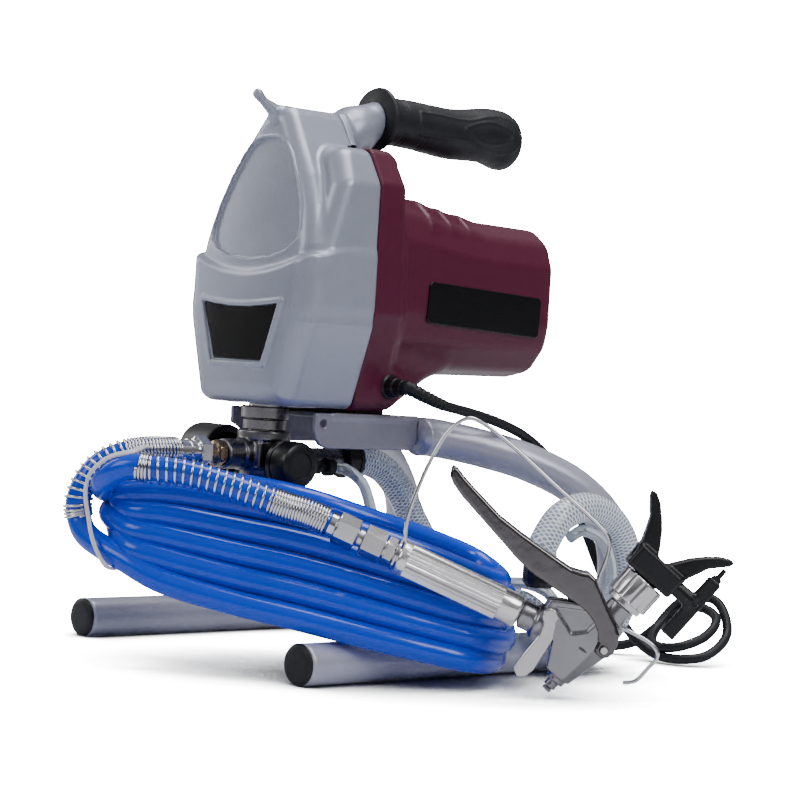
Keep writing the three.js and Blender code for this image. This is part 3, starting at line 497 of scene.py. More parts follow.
def front_cover():
    g = Grid((-70, 27, 174), (70, 105, 403), 0.9)
    body = outline(mirrored([(41.2, 187.5), (57.3, 238), (57.3, 284)]), g.x, g.z) - 9
    ledge = g.z - (270.5 + 0.0036 * g.x ** 2 + np.maximum(g.y - 52, 0) * 0.25)
    lower = rounded(rounded(body, 32.6 + 0.0008 * g.x ** 2 - g.y, 15), ledge, 4.5)
    face = rounded(outline(mirrored(CREST), g.x, g.z), cover_front(g.x, g.z) - g.y, 11)
    block = outline(mirrored([(53.3, 252), (53.3, 333), (43.5, 349.2)]), g.x, g.z) - 12.4
    lean_back = 50 + 0.30 * (g.z - 296) + 0.0006 * g.x ** 2
    shoulders = rounded(block, (lean_back - g.y) * 0.95, 12)
    whole = merged(face, shoulders, 4)
    whole = merged(whole, lower, 5)
    hook = capsule(g, (0, 62, 381.5), (0, 51, 386.5), 6.5, 4.6)
    hook = np.minimum(hook, capsule(g, (0, 51, 386.5), (0, 43, 391), 4.6, 3.1))
    hook = np.minimum(hook, capsule(g, (0, 43, 391), (0, 38.2, 395), 3.1, 3.9))
    whole = merged(whole, hook, 7)
    panel = outline(mirrored([(0, 279.5), (22, 281.5), (38, 286.5), (46.5, 293.5), (48, 302), (44.5, 318),
                              (35, 339), (25.5, 355), (18.5, 362.5), (9, 366), (0, 366.5)]), g.x, g.z)
    depth = g.y - cover_front(g.x, g.z)
    whole = merged(whole, rounded(np.abs(panel) - 1.3, np.abs(depth) - 0.7, 0.6), 1)
    whole = carved(whole, np.maximum(panel + 0.4, depth - 2.1), 0.6)
    plate = outline(mirrored([(28.4, 207.2), (42.8, 250.3), (30, 248.6), (12, 247.3), (0, 247)]), g.x, g.z)
    front = g.y - (32.6 + 0.0008 * g.x ** 2)
    frame_ridge = rounded(np.abs(plate - 0.8) - 2, np.abs(front) - 1.9, 1.2)
    whole = merged(whole, frame_ridge, 1.5)
    whole = carved(whole, np.maximum(plate + 0.6, front - 0.5), 0.4)
    shell = carved(whole, np.maximum(whole + WALL, 36 - g.y), 0.5)
    shell = rounded(shell, g.y - np.where(g.z > 364, SEAM + 4, SEAM), 0.9)
    shell = carved(shell, np.maximum(np.hypot(g.x, g.y - 62) - 18.6, g.z - 186), 1)
    piece(skin("cover_shell", g, shell, at, 0.6), "machine", "grey_paint", GREY, "front_cover")
    g = Grid((-44, 30.6, 205), (44, 34, 252), 0.45)
    inner = outline(mirrored([(24.5, 211.2), (38.6, 247.2), (29, 245.6), (12, 244.3), (0, 244)]),
                    g.x, g.z) - 2
    front = g.y - (32.7 + 0.0008 * g.x ** 2)
    plate = rounded(inner, np.abs(front) - 0.45, 0.25)
    piece(skin("nameplate_blank", g, plate, at, 0.5), "machine", "black_plate", PLATE, "nameplate")


BARREL_Y = (100, 125, 150, 185, 220, 289)           # the barrel's half width at stations along it
BARREL_HALF = (61.5, 61.5, 61.5, 61, 60, 58)


def motor_shroud():
    """Flange, tapering barrel with three steps on top and slots behind, pod below and boss for the gland."""
    g = Grid((-71, 97, 176), (71, 293, 368), 1.1)
    flange = outline(mirrored([(41, 188), (43, 207), (57, 248), (57, 335), (46.2, 353.5)]), g.x, g.z) - 9
    flange = rounded(flange, (g.y - 127 - 0.06 * (350 - g.z)), 9)
    half = np.interp(g.y, BARREL_Y, BARREL_HALF)
    top = np.interp(g.y, BARREL_Y, (342, 338, 333.5, 327, 322.5, 321))
    low = np.interp(g.y, BARREL_Y, (204, 204, 205, 205, 206, 207))
    across = g.x * 60 / half
    upright = 206 + (g.z - low) * 116 / (top - low)
    section = outline(mirrored([(18, 222), (33, 225.5), (41.5, 236), (44, 248), (44, 288), (40, 299),
                                (32.5, 304.5),
                                (18, 306)]), across, upright) - 16
    barrel = rounded(section, g.y - 289, 9)
    for y0 in (160, 181, 202):
        ramp = np.clip((g.y - y0 + 4) / 4, 0, 1) * np.clip((y0 + 18 - g.y) / 18, 0, 1)
        barrel = barrel - 1.5 * ramp * np.clip((g.z - 306) / 10, 0, 1)
    bottom = np.interp(g.y, (100, 138, 156, 172, 190, 200), (180, 180, 190.5, 200, 208, 212))
    pod_half = np.interp(g.y, (100, 150, 195), (49, 49, 42))
    pod = rounded(rounded(np.abs(g.x) - pod_half, bottom - g.z, 7), g.z - 235, 3)
    pod = rounded(pod, g.y - 196, 6)
    boss = rounded(np.hypot(g.y - GLAND_Y, g.z - GLAND_Z) - 13.5, np.abs(g.x - 44) - 6.2, 2)
    whole = merged(merged(merged(barrel, flange, 5), pod, 8), boss, 5)
    screw = np.hypot(np.hypot(g.x - 47, g.z - 353), g.y - 124) - 5
    whole = merged(whole, screw, 3)
    shell = carved(whole, np.maximum(whole + WALL, g.y - 285.5), 0.5)
    for x in (-27, -18, -9, 0, 9, 18, 27):
        slot = rounded(np.abs(g.x - x) - 2.2, np.abs(g.z - SHAFT_Z) - 30, 1)
        shell = carved(shell, np.maximum(slot, 276 - g.y))
    round_shaft = np.hypot(g.x, g.z - SHAFT_Z)
    shell = np.minimum(shell, rounded(np.abs(round_shaft - 15.2) - 1.8, np.abs(g.y - 273.5) - 13, 0.3))
    shell = rounded(shell, 100.3 - g.y, 0.9)
    shell = carved(shell, np.maximum(np.hypot(g.y - GLAND_Y, g.z - GLAND_Z) - 6.4, 40 - g.x))
    rocker_gap = np.maximum(np.maximum(np.abs(g.y - 118) - 12, np.abs(g.z - 194) - 7), g.x + 38)
    shell = carved(shell, rocker_gap)
    shell = carved(shell, np.maximum(np.maximum(np.abs(g.x) - 21.6, 345 - g.z), g.y - 126), 1)
    piece(skin("shroud_shell", g, shell, at, 0.55), "machine", "burgundy_paint", WINE, "motor_shroud")


GRIP_Y, GRIP_Z = 148, 390       # where the grip starts, and its height


def handle():
    """The casting that rises from the cover, holds the grip and carries a bar through it."""
    g = Grid((-26, 100, 296), (26, 280, 408), 1.0)
    foot = rounded(outline(mirrored(CREST), g.x, g.z) + 0.4, np.abs(g.y - 107.3) - 2.8, 0.8)
    foot = np.maximum(foot, 363.4 - g.z)
    post = rounded(np.abs(g.x) - 18, np.abs(g.y - 105) - 3.6, 2)
    post = rounded(post, np.abs(g.z - 334) - 33, 1)
    horn = merged(capsule(g, (0, 108, 366), (0, 127, 378.5), 19, 17.2),
                  capsule(g, (0, 127, 378.5), (0, 150, 389.8), 17.2, 13), 6)
    horn = np.maximum(horn, 104.5 - g.y)
    cast = merged(merged(foot, horn, 6), post, 3)
    cast = rounded(cast, g.y - 147.4, 1)
    cast = np.minimum(cast, rounded(np.hypot(g.x, g.z - GRIP_Z) - 8, np.abs(g.y - 210) - 62, 1))
    cast = np.maximum(cast, np.where(g.z > 352, 104.4, SEAM + 0.4) - g.y)
    piece(skin("handle_casting_eased", g, cast, at, 0.6), "machine", "grey_paint", GREY, "handle_casting")


def handle_sleeve():
    """The rubber grip: an oval tube with finger waves, grooves and a raised outline on each side."""
    marks = (0, 3, 7, 12, 35, 55, 72, 88, 100, 110, 118, 126, 132, 136, 138)
    upper = (22.4, 23.4, 18.6, 17.6, 17.4, 16.6, 16.2, 17.6, 19.6, 20.8, 21.2, 20.6, 18.4, 14.5, 9)
    under = (22.4, 23.4, 18.6, 17.8, 18.4, 20.2, 21.6, 21.4, 20.8, 21.0, 22.4, 24.4, 24.4, 20.5, 13)
    stations = smooth([(t, a, b) for t, a, b in zip(marks, upper, under)], 0.9)
    leaf = [(74 + 50 * s, 10.5 * math.sin(math.pi * s) ** 0.8 * (0.6 + 0.4 * s))
            for s in np.linspace(0.02, 0.98, 13)]
    racket = [(31, 8.5), (50, 8.8), (70, 7.6), (84, 8.6), (98, 13), (112, 15.5), (124, 12), (129, 5)]
    leaf = leaf + [(t, -w) for t, w in reversed(leaf)]
    racket = racket + [(t, -w) for t, w in reversed(racket)]
    t_grid = stations[:, 0][:, None]
    sides = 120
    turn = np.arange(sides) * 2 * math.pi / sides
    mean, swing = (stations[:, 1] + stations[:, 2]) / 2, (stations[:, 1] - stations[:, 2]) / 2
    radius = mean[:, None] + swing[:, None] * np.cos(turn)
    emboss = np.zeros_like(radius)
    for side in (math.pi / 2, 3 * math.pi / 2):
        arc = (turn - side + math.pi) % (2 * math.pi) - math.pi
        width = arc[None] * mean[:, None]
        for curve, depth in ((racket, 0.8), (leaf, 0.7)):
            away = outline(curve, t_grid + 0 * width, width)
            emboss = np.maximum(emboss, depth * np.exp(-(away / 0.8) ** 2))
    grooves = sum(0.5 * np.exp(-((t_grid - t0) / 0.7) ** 2) for t0 in (17, 20, 37, 40))
    radius = radius + emboss - grooves * (np.cos(2 * turn) > -0.5)
    verts = [at(r * math.sin(a), GRIP_Y + t, GRIP_Z + r * math.cos(a))
             for t, ring in zip(stations[:, 0], radius) for r, a in zip(ring, turn)]
    faces = tube_faces(len(stations), sides) + end_faces(len(stations), sides)
    grip = mesh_object("grip_sleeve", verts, [face[::-1] for face in faces])
    piece(grip, "machine", "black_rubber", RUBBER, "handle_grip")


# ------------------------------------------------------------------ spray gun
HANDLE_TILT = math.radians(-21.5)
HANDLE_AXIS = np.array([math.cos(YAW) * math.cos(HANDLE_TILT), math.sin(YAW) * math.cos(HANDLE_TILT),
                        math.sin(HANDLE_TILT)])
NOZZLE_TILT = math.radians(51.5)
NUT_FACE = (309.0, 81.5)
HANDLE_FOOT = (152.5, 84.4)     # where the gun's handle starts, along the lean and up
PIN = (283.4, 34.7)             # the trigger's pivot
GUN_WIRE_R = 1.4


def in_gun(s, d, z):
    """Gun shapes are drawn along the lean (s), out from the gun's own plane (d) and up."""
    return lean(s, GUN_REACH + d, z)


def nozzle_point(along, out, across):
    """A point given along the nozzle from the nut's face, out of the gun's plane, and across."""
    c, n = math.cos(NOZZLE_TILT), math.sin(NOZZLE_TILT)
    return in_gun(NUT_FACE[0] + along * c - across * n, out, NUT_FACE[1] + along * n + across * c)


def gun_handle():
    start = lean(HANDLE_FOOT[0], GUN_REACH, HANDLE_FOOT[1])
    profile = [(7.2, -7.2), (10.6, -7), (11.3, -6.2), (11.5, -5), (11.5, -1.2), (11.5, -0.6), (11.5, 66),
               (11.5, 66.6), (11.5, 78.6), (11, 79.6), (9.5, 80.6)]

    def flutes(r, t, angle):
        if -0.9 < t < 66.3:
            return r - 1.0 * (0.5 + 0.5 * math.cos(angle * 24)) ** 0.5
        return r

    grip = lathe("fluted_handle", profile, start, HANDLE_AXIS, 240, flutes)
    piece(grip, "machine", "cast_alloy", FLUTED, "gun_handle")


def trigger():
    """A pressed channel: a web along the top edge and a cheek down each side, open underneath."""
    g = Grid((172, -14.4, 25), (296, 14.4, 150), 0.62)
    top = [(176.6, 146.6), (178.5, 149.2), (181.6, 147.2), (186.5, 141.5), (196, 132.2), (211, 118),
           (227, 106.8), (242, 97.5), (252, 91.2), (259.8, 86.6), (266.5, 84.8), (272, 84.2), (276, 80.8),
           (279.5, 74), (285, 62.6), (290, 54), (293.4, 45.2), (292.6, 38), (290.5, 33.2), (287, 29.8),
           (282.4, 28.6), (278.6, 31.2)]
    bottom = [(277.4, 35), (279.2, 40), (278.4, 46.8), (275, 53.5), (270, 59.4), (263, 64), (254.9, 68.6),
              (243, 76),
              (230.8, 83.6), (221, 92.2), (211.9, 101.6), (198, 115.5), (184, 129.6), (178.4, 136.6),
              (176, 141.5)]
    side = outline(top + bottom, g.x, g.z)
    solid = rounded(side, np.abs(g.y) - 12.5, 2.4)
    under_web = [(x - 1.4, z - 2.4) for x, z in top[1:18]] + [(262, 20), (200, 60), (160, 130)]
    hollow = np.maximum(np.abs(g.y) - 10.7, outline(under_web, g.x, g.z))
    shape = carved(solid, hollow, 0.8)
    shape = carved(shape, np.hypot(g.x - PIN[0], g.z - PIN[1]) - 2.5)
    piece(skin("trigger_channel", g, shape, in_gun, 0.7),
          "trigger", "polished_steel", DARK_CHROME, "gun_trigger")


def gun_body():
    g = Grid((226, -15, 1), (324, 15, 80), 0.7)
    head = outline([(244, 60), (247, 65.8), (259, 65.2), (272, 63.6), (283, 60.4), (296, 46), (291, 35),
                    (285, 27.6),
                    (262, 9.6), (254, 14.5), (247, 21), (249.5, 39), (241, 47)], g.x, g.z)
    to_edge = ((g.x - 262) * 36.4 - (g.z - 9.6) * 34) / 49.8
    body = rounded(head, np.abs(g.y) - 10.6 + np.maximum(0, 5.5 + to_edge) * 0.95, 1.2)
    pocket = outline([(250, 61), (268, 60), (282, 57), (272, 46), (262, 44)], g.x, g.z)
    relief = np.maximum(pocket, 8.6 - np.abs(g.y))
    body = carved(body, relief, 0.8)

    def along_nozzle(a0, a1, r0, r1):
        ca, sa = math.cos(NOZZLE_TILT), math.sin(NOZZLE_TILT)
        s, z = g.x - NUT_FACE[0], g.z - NUT_FACE[1]
        u, w = s * ca + z * sa, -s * sa + z * ca
        share = np.clip((u - a0) / (a1 - a0), 0, 1)
        ends = np.abs(u - (a0 + a1) / 2) - (a1 - a0) / 2
        return rounded(np.hypot(g.y, w) - (r0 + (r1 - r0) * share), ends, 0.6)

    for a0, a1, r0, r1, k in ((-36, -23, 9, 9, 2), (-82, -62, 7.2, 10.5, 1.5), (-90, -82, 6.6, 6.9, 0.6),
                              (-95, -90, 4.2, 4.2, 0.5), (-98, -95.5, 3.2, 3.2, 0.5)):
        body = merged(body, along_nozzle(a0, a1, r0, r1), k)
    ct, st = math.cos(HANDLE_TILT), math.sin(HANDLE_TILT)
    s, z = g.x - HANDLE_FOOT[0], g.z - HANDLE_FOOT[1]
    t, w = s * ct + z * st, -s * st + z * ct
    collar = rounded(np.hypot(g.y, w) - 9.6, np.abs(t - 90) - 8.9, 1)
    band = rounded(np.hypot(g.y, w) - 12.4, np.abs(t - 95.5) - 4.2, 2.6)
    body = merged(merged(body, collar, 1.5), band, 1.5)
    body = carved(body, np.hypot(g.x - PIN[0], g.z - PIN[1]) - 2.6)
    piece(skin("gun_body_cast", g, body, in_gun, 0.7), "machine", "cast_alloy", ALLOY, "gun_body")
    hook = smooth([in_gun(s, 0, z) for s, z in (
        (290, 50), (297, 48.3), (304, 45.4), (313, 41), (317.6, 37.6), (320.2, 33.6), (319.6, 29.6),
        (314, 22.4), (309.4, 16.6), (306.4, 14), (302.6, 13), (298.6, 12.6))], 0.0012)
    piece(sweep("hanging_hook", hook, GUN_WIRE_R * MM, 12), "machine", "polished_steel", CHROME)


def trigger_lock():
    g = Grid((222, 11.6, 10), (256, 18.4, 66), 0.45)
    lever = outline([(243.5, 54), (247, 60.5), (252, 57), (249.6, 40), (238, 19), (233, 14.6),
                     (227.5, 14.6), (225, 20),
                     (231, 30), (240, 42)], g.x, g.z)
    flat = rounded(lever, np.abs(g.y - 14.6) - 2, 1.2)
    flat = merged(flat, rounded(np.hypot(g.x - 247, g.z - 55) - 5.2, np.abs(g.y - 14.9) - 2.6, 0.8), 1)
    piece(skin("safety_lever", g, flat, in_gun, 0.7), "lock", "machined_steel", STEEL, "trigger_lock")


def nut_and_tip():
    start = nozzle_point(-22.5, 0, 0)
    axis = nozzle_point(1, 0, 0) - nozzle_point(0, 0, 0)
    profile = [(9.4, 0), (12.2, 0), (12.6, 0.5), (12.6, 3.2), (12.6, 3.4), (14.8, 4), (15, 4.6), (15, 20.6),
               (14.6, 21.6), (14, 22), (9.4, 22)]

    def knurl(r, t, angle):
        if r > 14.5 and 4 < t < 21.4:
            return r - 0.8 * max(0.0, math.cos(angle * 12)) ** 3
        return r

    nut = lathe("nut_ribbed", profile, start, axis, 144, knurl)
    piece(nut, "nut", "machined_steel", STEEL, "retaining_nut")
    g = Grid((-15, -14, -38), (50, 14, 38), 0.62)
    wing = [(8, 10), (9, 17), (20, 20), (33, 25.6), (43.4, 35), (47, 36), (47.6, 33), (44, 26.6), (38, 20),
            (31, 13.6),
            (20, 6), (12, 4)]
    both = np.minimum(outline(wing, g.x, g.z), outline([(a, -b) for a, b in reversed(wing)], g.x, g.z))
    horns = rounded(both, np.abs(g.y) - (8 - 0.06 * np.maximum(g.x - 15, 0)), 1.4)
    base = rounded(rounded(np.abs(g.x - 8.6) - 8.3, np.abs(g.z) - 18, 2.5), np.abs(g.y) - 12, 2.5)
    stem = rounded(np.hypot(g.y, g.z) - 8.8, np.abs(g.x + 5) - 8, 0.6)
    guard = merged(merged(horns, base, 3), stem, 1)
    guard = carved(guard, np.maximum(np.hypot(g.y, g.z) - 4, 8 - g.x), 0.6)
    guard = carved(guard, np.hypot(g.x - 9.5, g.y) - 5.3)
    piece(skin("guard_moulding", g, guard, nozzle_point, 0.6), "guard", "black_plastic", BLACK, "tip_guard")
    g = Grid((-21, -7, -43), (43, 7, 14), 0.55)
    barrel = rounded(np.hypot(g.x - 9.5, g.y) - 5, np.abs(g.z + 11) - 22, 0.6)
    bar = rounded(rounded(np.abs(g.x - 6) - 24, np.abs(g.z + 35) - 5, 1.2), np.abs(g.y) - 2.7, 1)
    neck = rounded(rounded(np.abs(g.x - 9.5) - 5, np.abs(g.z + 26) - 6, 1), np.abs(g.y) - 3.4, 1)
    arrow = rounded(outline([(28, -38.4), (28, -31.6), (33, -31.6), (33, -33.4), (40, -33.4), (40, -36.6),
                             (33, -36.6),
                             (33, -38.4)], g.x, g.z), np.abs(g.y) - 1.8, 0.5)
    tip = merged(merged(merged(barrel, neck, 1.5), bar, 2.5), arrow, 1)
    tip = carved(tip, np.hypot(g.x - 9.5, g.z + 36) - 1.6)
    piece(skin("tip_key", g, tip, nozzle_point, 0.7), "tip", "black_plastic", BLACK, "spray_tip")


def label():
    """The rating plate follows the barrel's slope; it carries no lettering."""
    g = Grid((57, 150, 232), (64.4, 278, 276), 0.5)
    tilt = math.radians(-2.6)
    y, z = g.y - 214, g.z - 255.2
    v = z * math.cos(tilt) - y * math.sin(tilt)
    u = y * math.cos(tilt) + z * math.sin(tilt)
    plate = rounded(np.abs(u) - 59, np.abs(v) - 15, 4)
    away = g.x - np.interp(g.y, BARREL_Y, BARREL_HALF) - 0.45
    plate = rounded(plate, np.abs(away) - 0.6, 0.3)
    piece(skin("label_plate", g, plate, at, 0.4), "machine", "black_plate", PLATE, "rating_label")


# ------------------------------------------------------------------ stand, pump and small pieces
TUBE_R, TUBE_Z, LEG_X, PUMP_Y = 14.0, 13.6, 123.3, 62.0
PLUG_X, PLUG_Y, PLUG_Z = -19.0, 215.0, 17.3
PIN_HALF_GAP = 9.5


def stand_legs():
    for side, name in ((1, "right"), (-1, "left")):
        route = [
            (LEG_X, 3, TUBE_Z), (LEG_X, 60, TUBE_Z), (LEG_X, 110, TUBE_Z), (LEG_X, 225, TUBE_Z),
            (LEG_X, 262, 17),
            (LEG_X - 1, 294, 34), (LEG_X - 4, 309, 66), (LEG_X - 9, 305, 100), (LEG_X - 20, 281, 127),
            (LEG_X - 38, 247, 145), (LEG_X - 58, 212, 155), (LEG_X - 71, 188, 159.5),
            (LEG_X - 75.5, 174, 161),
            (LEG_X - 75.5, 166, 161),
        ]
        line = smooth(row([(side * x, y, z) for x, y, z in route]), 0.004)
        leg = sweep("leg_" + name, line, TUBE_R * MM, 48)
        for vertex in leg.data.vertices:
            vertex.co.z = max(vertex.co.z, 0)
        piece(leg, "machine", "stand_paint", STAND, "stand_tube_" + name)
        profile = [(0.01, -0.3), (8, -0.3), (11.4, 0), (13.1, 0.6), (14.1, 1.9), (14.1, 2.7), (0.01, 2.7)]
        cap = lathe("cap_" + name, profile, at(side * LEG_X, 0.3, TUBE_Z), (0, 1, 0), 64)
        for vertex in cap.data.vertices:
            vertex.co.z = max(vertex.co.z, 0)
        piece(cap, "machine", "black_rubber", RUBBER, "leg_cap_" + name)


def ribbed(count, depth, low, high, least):
    """Ribs along a lathed body between two distances, where its radius is more than `least`."""
    def shape(r, t, angle):
        if r > least and low < t < high:
            return r - depth * (0.5 + 0.5 * math.cos(angle * count)) ** 0.5
        return r
    return shape


def hexed(low, high, flats):
    """A hexagon of that size across its flats between two distances, with its corners eased."""
    def shape(r, t, angle):
        if low <= t <= high:
            turn = (angle + math.pi / 6) % (math.pi / 3) - math.pi / 6
            return min(r, flats / 2 / math.cos(turn))
        return r
    return shape


OUTLET_Z = 143


def pump_pieces():
    """Knob, prime dial, collar, ring, inlet, manifold, outlet, sensor and the suction hose's clamp."""
    knob = [(15.2, -0.9), (17, -1), (20, -0.7), (20.5, 0.2), (20.5, 2), (20.5, 27.5), (19.8, 30.4),
            (17, 32.6),
            (12, 33), (0.02, 33)]
    inner = [(0.02, 17.5), (15.2, 17.2), (15.8, 15), (15.8, 0)]
    cup = lathe("pressure_cup", inner + knob, at(-42, PUMP_Y, 141), (-1, 0, 0), 144,
                ribbed(24, 0.9, 2.5, 27, 19))
    piece(cup, "pressure_dial", "black_plastic", BLACK, "pressure_knob")
    dial = [(0.02, 0), (15.5, 0), (16.5, 1), (16.5, 4.5), (15.3, 5), (15.3, 6), (16.5, 6.5), (16.5, 16.5),
            (15.2, 19.6), (12.6, 20.9), (9.5, 21), (9, 20.2), (0.02, 20.2)]
    piece(lathe("prime_dial_cap", dial, at(22.5, PUMP_Y, 138), (1, 0, 0), 120, ribbed(10, 0.55, 7, 16.2, 16)),
          "prime_dial", "black_plastic", BLACK, "prime_knob")
    collar = [(12.5, 0), (16.2, 0), (17, 0.8), (17, 8), (16.2, 8.8), (12.5, 8.8)]
    piece(lathe("collar_ring", collar, at(0, PUMP_Y, 168.3), (0, 0, 1), 96), "machine", "machined_steel",
          COLLAR, "pump_collar")
    ring = [(12.5, 0), (14.6, 0), (15.3, 0.7), (15.3, 6.9), (14.6, 7.6), (12.5, 7.6)]
    piece(lathe("lock_ring_slotted", ring, at(0, PUMP_Y, 160.4), (0, 0, 1), 96), "machine", "machined_steel",
          COLLAR, "lock_ring")
    foot = [(0.02, 0), (8.2, 0), (9, 0.8), (9, 3.6), (9.2, 4), (11, 4), (12.8, 5.2), (13, 6), (13, 15.6),
            (12.6, 16.8), (11, 17.5), (0.02, 17.5)]
    piece(lathe("inlet_hex", foot, at(0, PUMP_Y, 110), (0, 0, 1), 72, hexed(4, 17.5, 22.8)), "machine",
          "machined_steel", STEEL, "inlet_valve")
    g = Grid((-21, 24, 126), (21, 138, 178), 0.7)
    away = np.hypot(g.x, g.y - PUMP_Y)
    tower = rounded(away - 16.5, np.abs(g.z - 140.4) - 12.6, 1.2)
    flange = rounded(away - 19, np.abs(g.z - 156.5) - 3.5, 1)
    block = rounded(np.abs(g.x) - 14.6, np.abs(g.y - PUMP_Y) - 15, 2)
    block = rounded(block, np.abs(g.z - OUTLET_Z) - 9.5, 1.5)
    outlet = rounded(np.hypot(g.x, g.z - OUTLET_Z) - 10.5, np.abs(g.y - 44) - 19, 1.1)
    step = rounded(np.hypot(g.x, g.z - OUTLET_Z) - 11.4, np.abs(g.y - 45) - 5, 0.6)
    arm = rounded(np.hypot(g.x, g.z - 140) - 8.5, np.abs(g.y - 99) - 37, 0.8)
    body = merged(merged(merged(tower, flange, 1), outlet, 2.5), arm, 2)
    body = merged(merged(body, step, 0.8), block, 1.5)
    body = carved(body, np.maximum(away - 12.3, 148 - g.z))
    body = carved(body, np.maximum(away - 6.2, 134 - g.z))
    piece(skin("manifold_cast", g, body, at, 0.6), "machine", "machined_steel", DARK_STEEL, "pump_manifold")
    outlet_hex = [(0.02, 0), (6.4, 0), (7, 0.6), (7, 6.6), (7.8, 7), (9.2, 7.4), (9.6, 8.2), (9.6, 12.2),
                  (9, 13.2),
                  (7, 13.7), (0.02, 13.7)]
    piece(lathe("outlet_hex", outlet_hex, at(0, 11, OUTLET_Z), (0, 1, 0), 72, hexed(7, 13.2, 17)), "machine",
          "brass", BRASS, "outlet_fitting")
    sensor = [(0.02, 0), (10.2, 0), (11, 0.8), (11, 23.2), (10.2, 24), (0.02, 24)]
    piece(lathe("sensor_can", sensor, at(-41, PUMP_Y, 141), (1, 0, 0), 72),
          "machine", "machined_steel", STEEL,
          "pressure_sensor")
    clamp = [(8.9, 0), (12.4, 0), (13.2, 0.8), (13.2, 3.4), (12.5, 3.9), (12.5, 11), (13.2, 11.6),
             (13.2, 14.2), (12.4, 15), (8.9, 15)]
    piece(lathe("clamp_ring", clamp, at(0, 134, 140), (0, 1, 0), 72), "machine", "black_rubber", BLACK,
          "suction_clamp")


def hex_bar(name, profile, start, hexes, body, slot, mat, node):
    """A lathed fitting on the gun handle's line with several hexagons on it."""
    def shape(r, t, angle):
        for low, high, flats in hexes:
            r = hexed(low, high, flats)(r, t, angle)
        return r
    return piece(lathe(name, profile, start, HANDLE_AXIS, 96, shape), body, slot, mat, node)


def swivel_pump():
    pump_end = [(0.02, 0), (7.4, 0), (8, 0.7), (8, 9), (8.6, 9.4), (8.6, 12), (7.7, 12.6), (7.7, 15.8),
                (9.4, 16.4),
                (11.2, 16.8), (11.8, 17.6), (11.8, 24), (11.2, 25), (9, 25.4), (0.02, 25.4)]
    return piece(lathe("swivel_pump", pump_end, at(0, -15, HOSE_Z), (0, 1, 0), 96, hexed(16.4, 25, 19)),
                 "machine",
                 "polished_steel", CHROME, "hose_swivel_pump")


def swivel_gun():
    handle_start = lean(HANDLE_FOOT[0], GUN_REACH, HANDLE_FOOT[1])
    swivel = [(0.02, -5), (7.8, -5), (8.4, -4.4), (8.4, -0.4), (9, 0), (11.2, 0.8), (11.8, 1.6), (11.8, 13.9),
              (11.2, 14.8), (8.8, 15.5), (0.02, 15.5)]
    return hex_bar("swivel_gun", swivel, handle_start - 53 * MM * HANDLE_AXIS, [(0, 15.2, 19)], "machine",
                   "polished_steel", CHROME, "hose_swivel_gun")


def gun_line():
    handle_start = lean(HANDLE_FOOT[0], GUN_REACH, HANDLE_FOOT[1])
    inlet = [(0.02, 0), (5.4, 0), (6, 0.6), (6, 3.2), (8.6, 3.5), (11.2, 4.3), (11.6, 5), (11.6, 17.4),
             (11.2, 18.2),
             (8.6, 18.5), (6.4, 18.8), (6.4, 19.3), (8.6, 19.5), (10.2, 20.2), (10.5, 21), (10.5, 25),
             (10.1, 25.8),
             (8.4, 26.3), (6, 26.6), (6, 31), (0.02, 31)]
    hex_bar("inlet_hexes", inlet, handle_start - 37 * MM * HANDLE_AXIS, [(3.5, 18.5, 19),
                                                                         (19.5, 26.3, 17)], "machine",
            "machined_steel", STEEL, "gun_inlet")
    route = [
        (149.2, 95.8), (150, 112), (155.5, 131), (162, 149), (172, 169), (180, 177.5), (187, 180.5),
        (196, 177.5),
        (216, 164), (250, 136.5), (276, 115.5), (283.5, 107), (283.5, 98), (278, 78), (277.5, 67.5),
    ]
    line = smooth([lean(s, GUN_REACH, z) for s, z in route], 0.002)
    wire = sweep("guard_wire", line, GUN_WIRE_R * MM, 16)
    eye = lathe("guard_eye", [(7.3, 0), (10.1, 0), (10.6, 0.5), (10.6, 1.6), (10.1, 2), (7.3, 2), (7.3, 0)],
                handle_start - 10.2 * MM * HANDLE_AXIS, HANDLE_AXIS, 48)
    piece(wire, "machine", "polished_steel", CHROME, "trigger_guard")
    piece(eye, "machine", "polished_steel", CHROME)


def bracket():
    g = Grid((-50, 64, 148), (50, 169, 177), 0.8)
    cheek = outline([(68.5, 175.2), (68.5, 163), (70, 157), (74.5, 152.5), (81, 150.6), (160, 150.6),
                     (165.4, 156),
                     (165.4, 175.2)], g.y, g.z)
    sides = rounded(cheek, np.abs(np.abs(g.x) - 46) - 2, 0.8)
    top = rounded(rounded(np.abs(g.x) - 48, np.abs(g.z - 173.4) - 1.8, 0.8), np.abs(g.y - 124.8) - 40.7, 1)
    whole = merged(sides, top, 2.2)
    whole = carved(whole, np.maximum(np.hypot(g.y - 76, g.z - 168) - 3, 40 - g.x), 0.6)
    whole = carved(whole, np.maximum(np.hypot(g.y - PUMP_Y, g.z - 141) - 23, g.x + 42))
    # the bracket wears the darker copy of the stand paint: painted shade
    piece(skin("bracket_pressed", g, whole, at, 0.6), "machine", "stand_paint", STAND_PAINTED_SHADE, "stand_bracket")


def gland():
    body = [(0.02, 0), (8.4, 0), (9, 0.6), (9, 2.6), (8.4, 3.2), (7.5, 3.6), (7.2, 8.6), (6.6, 9.8),
            (5.9, 10.3),
            (5.5, 16.6), (5.1, 17), (0.02, 17)]
    piece(lathe("gland_nut", body, at(50.4, GLAND_Y, GLAND_Z), (1, 0, 0),
                72, ribbed(12, 0.35, 3.8, 9, 6.9)), "machine",
          "black_rubber", BLACK, "cord_gland")


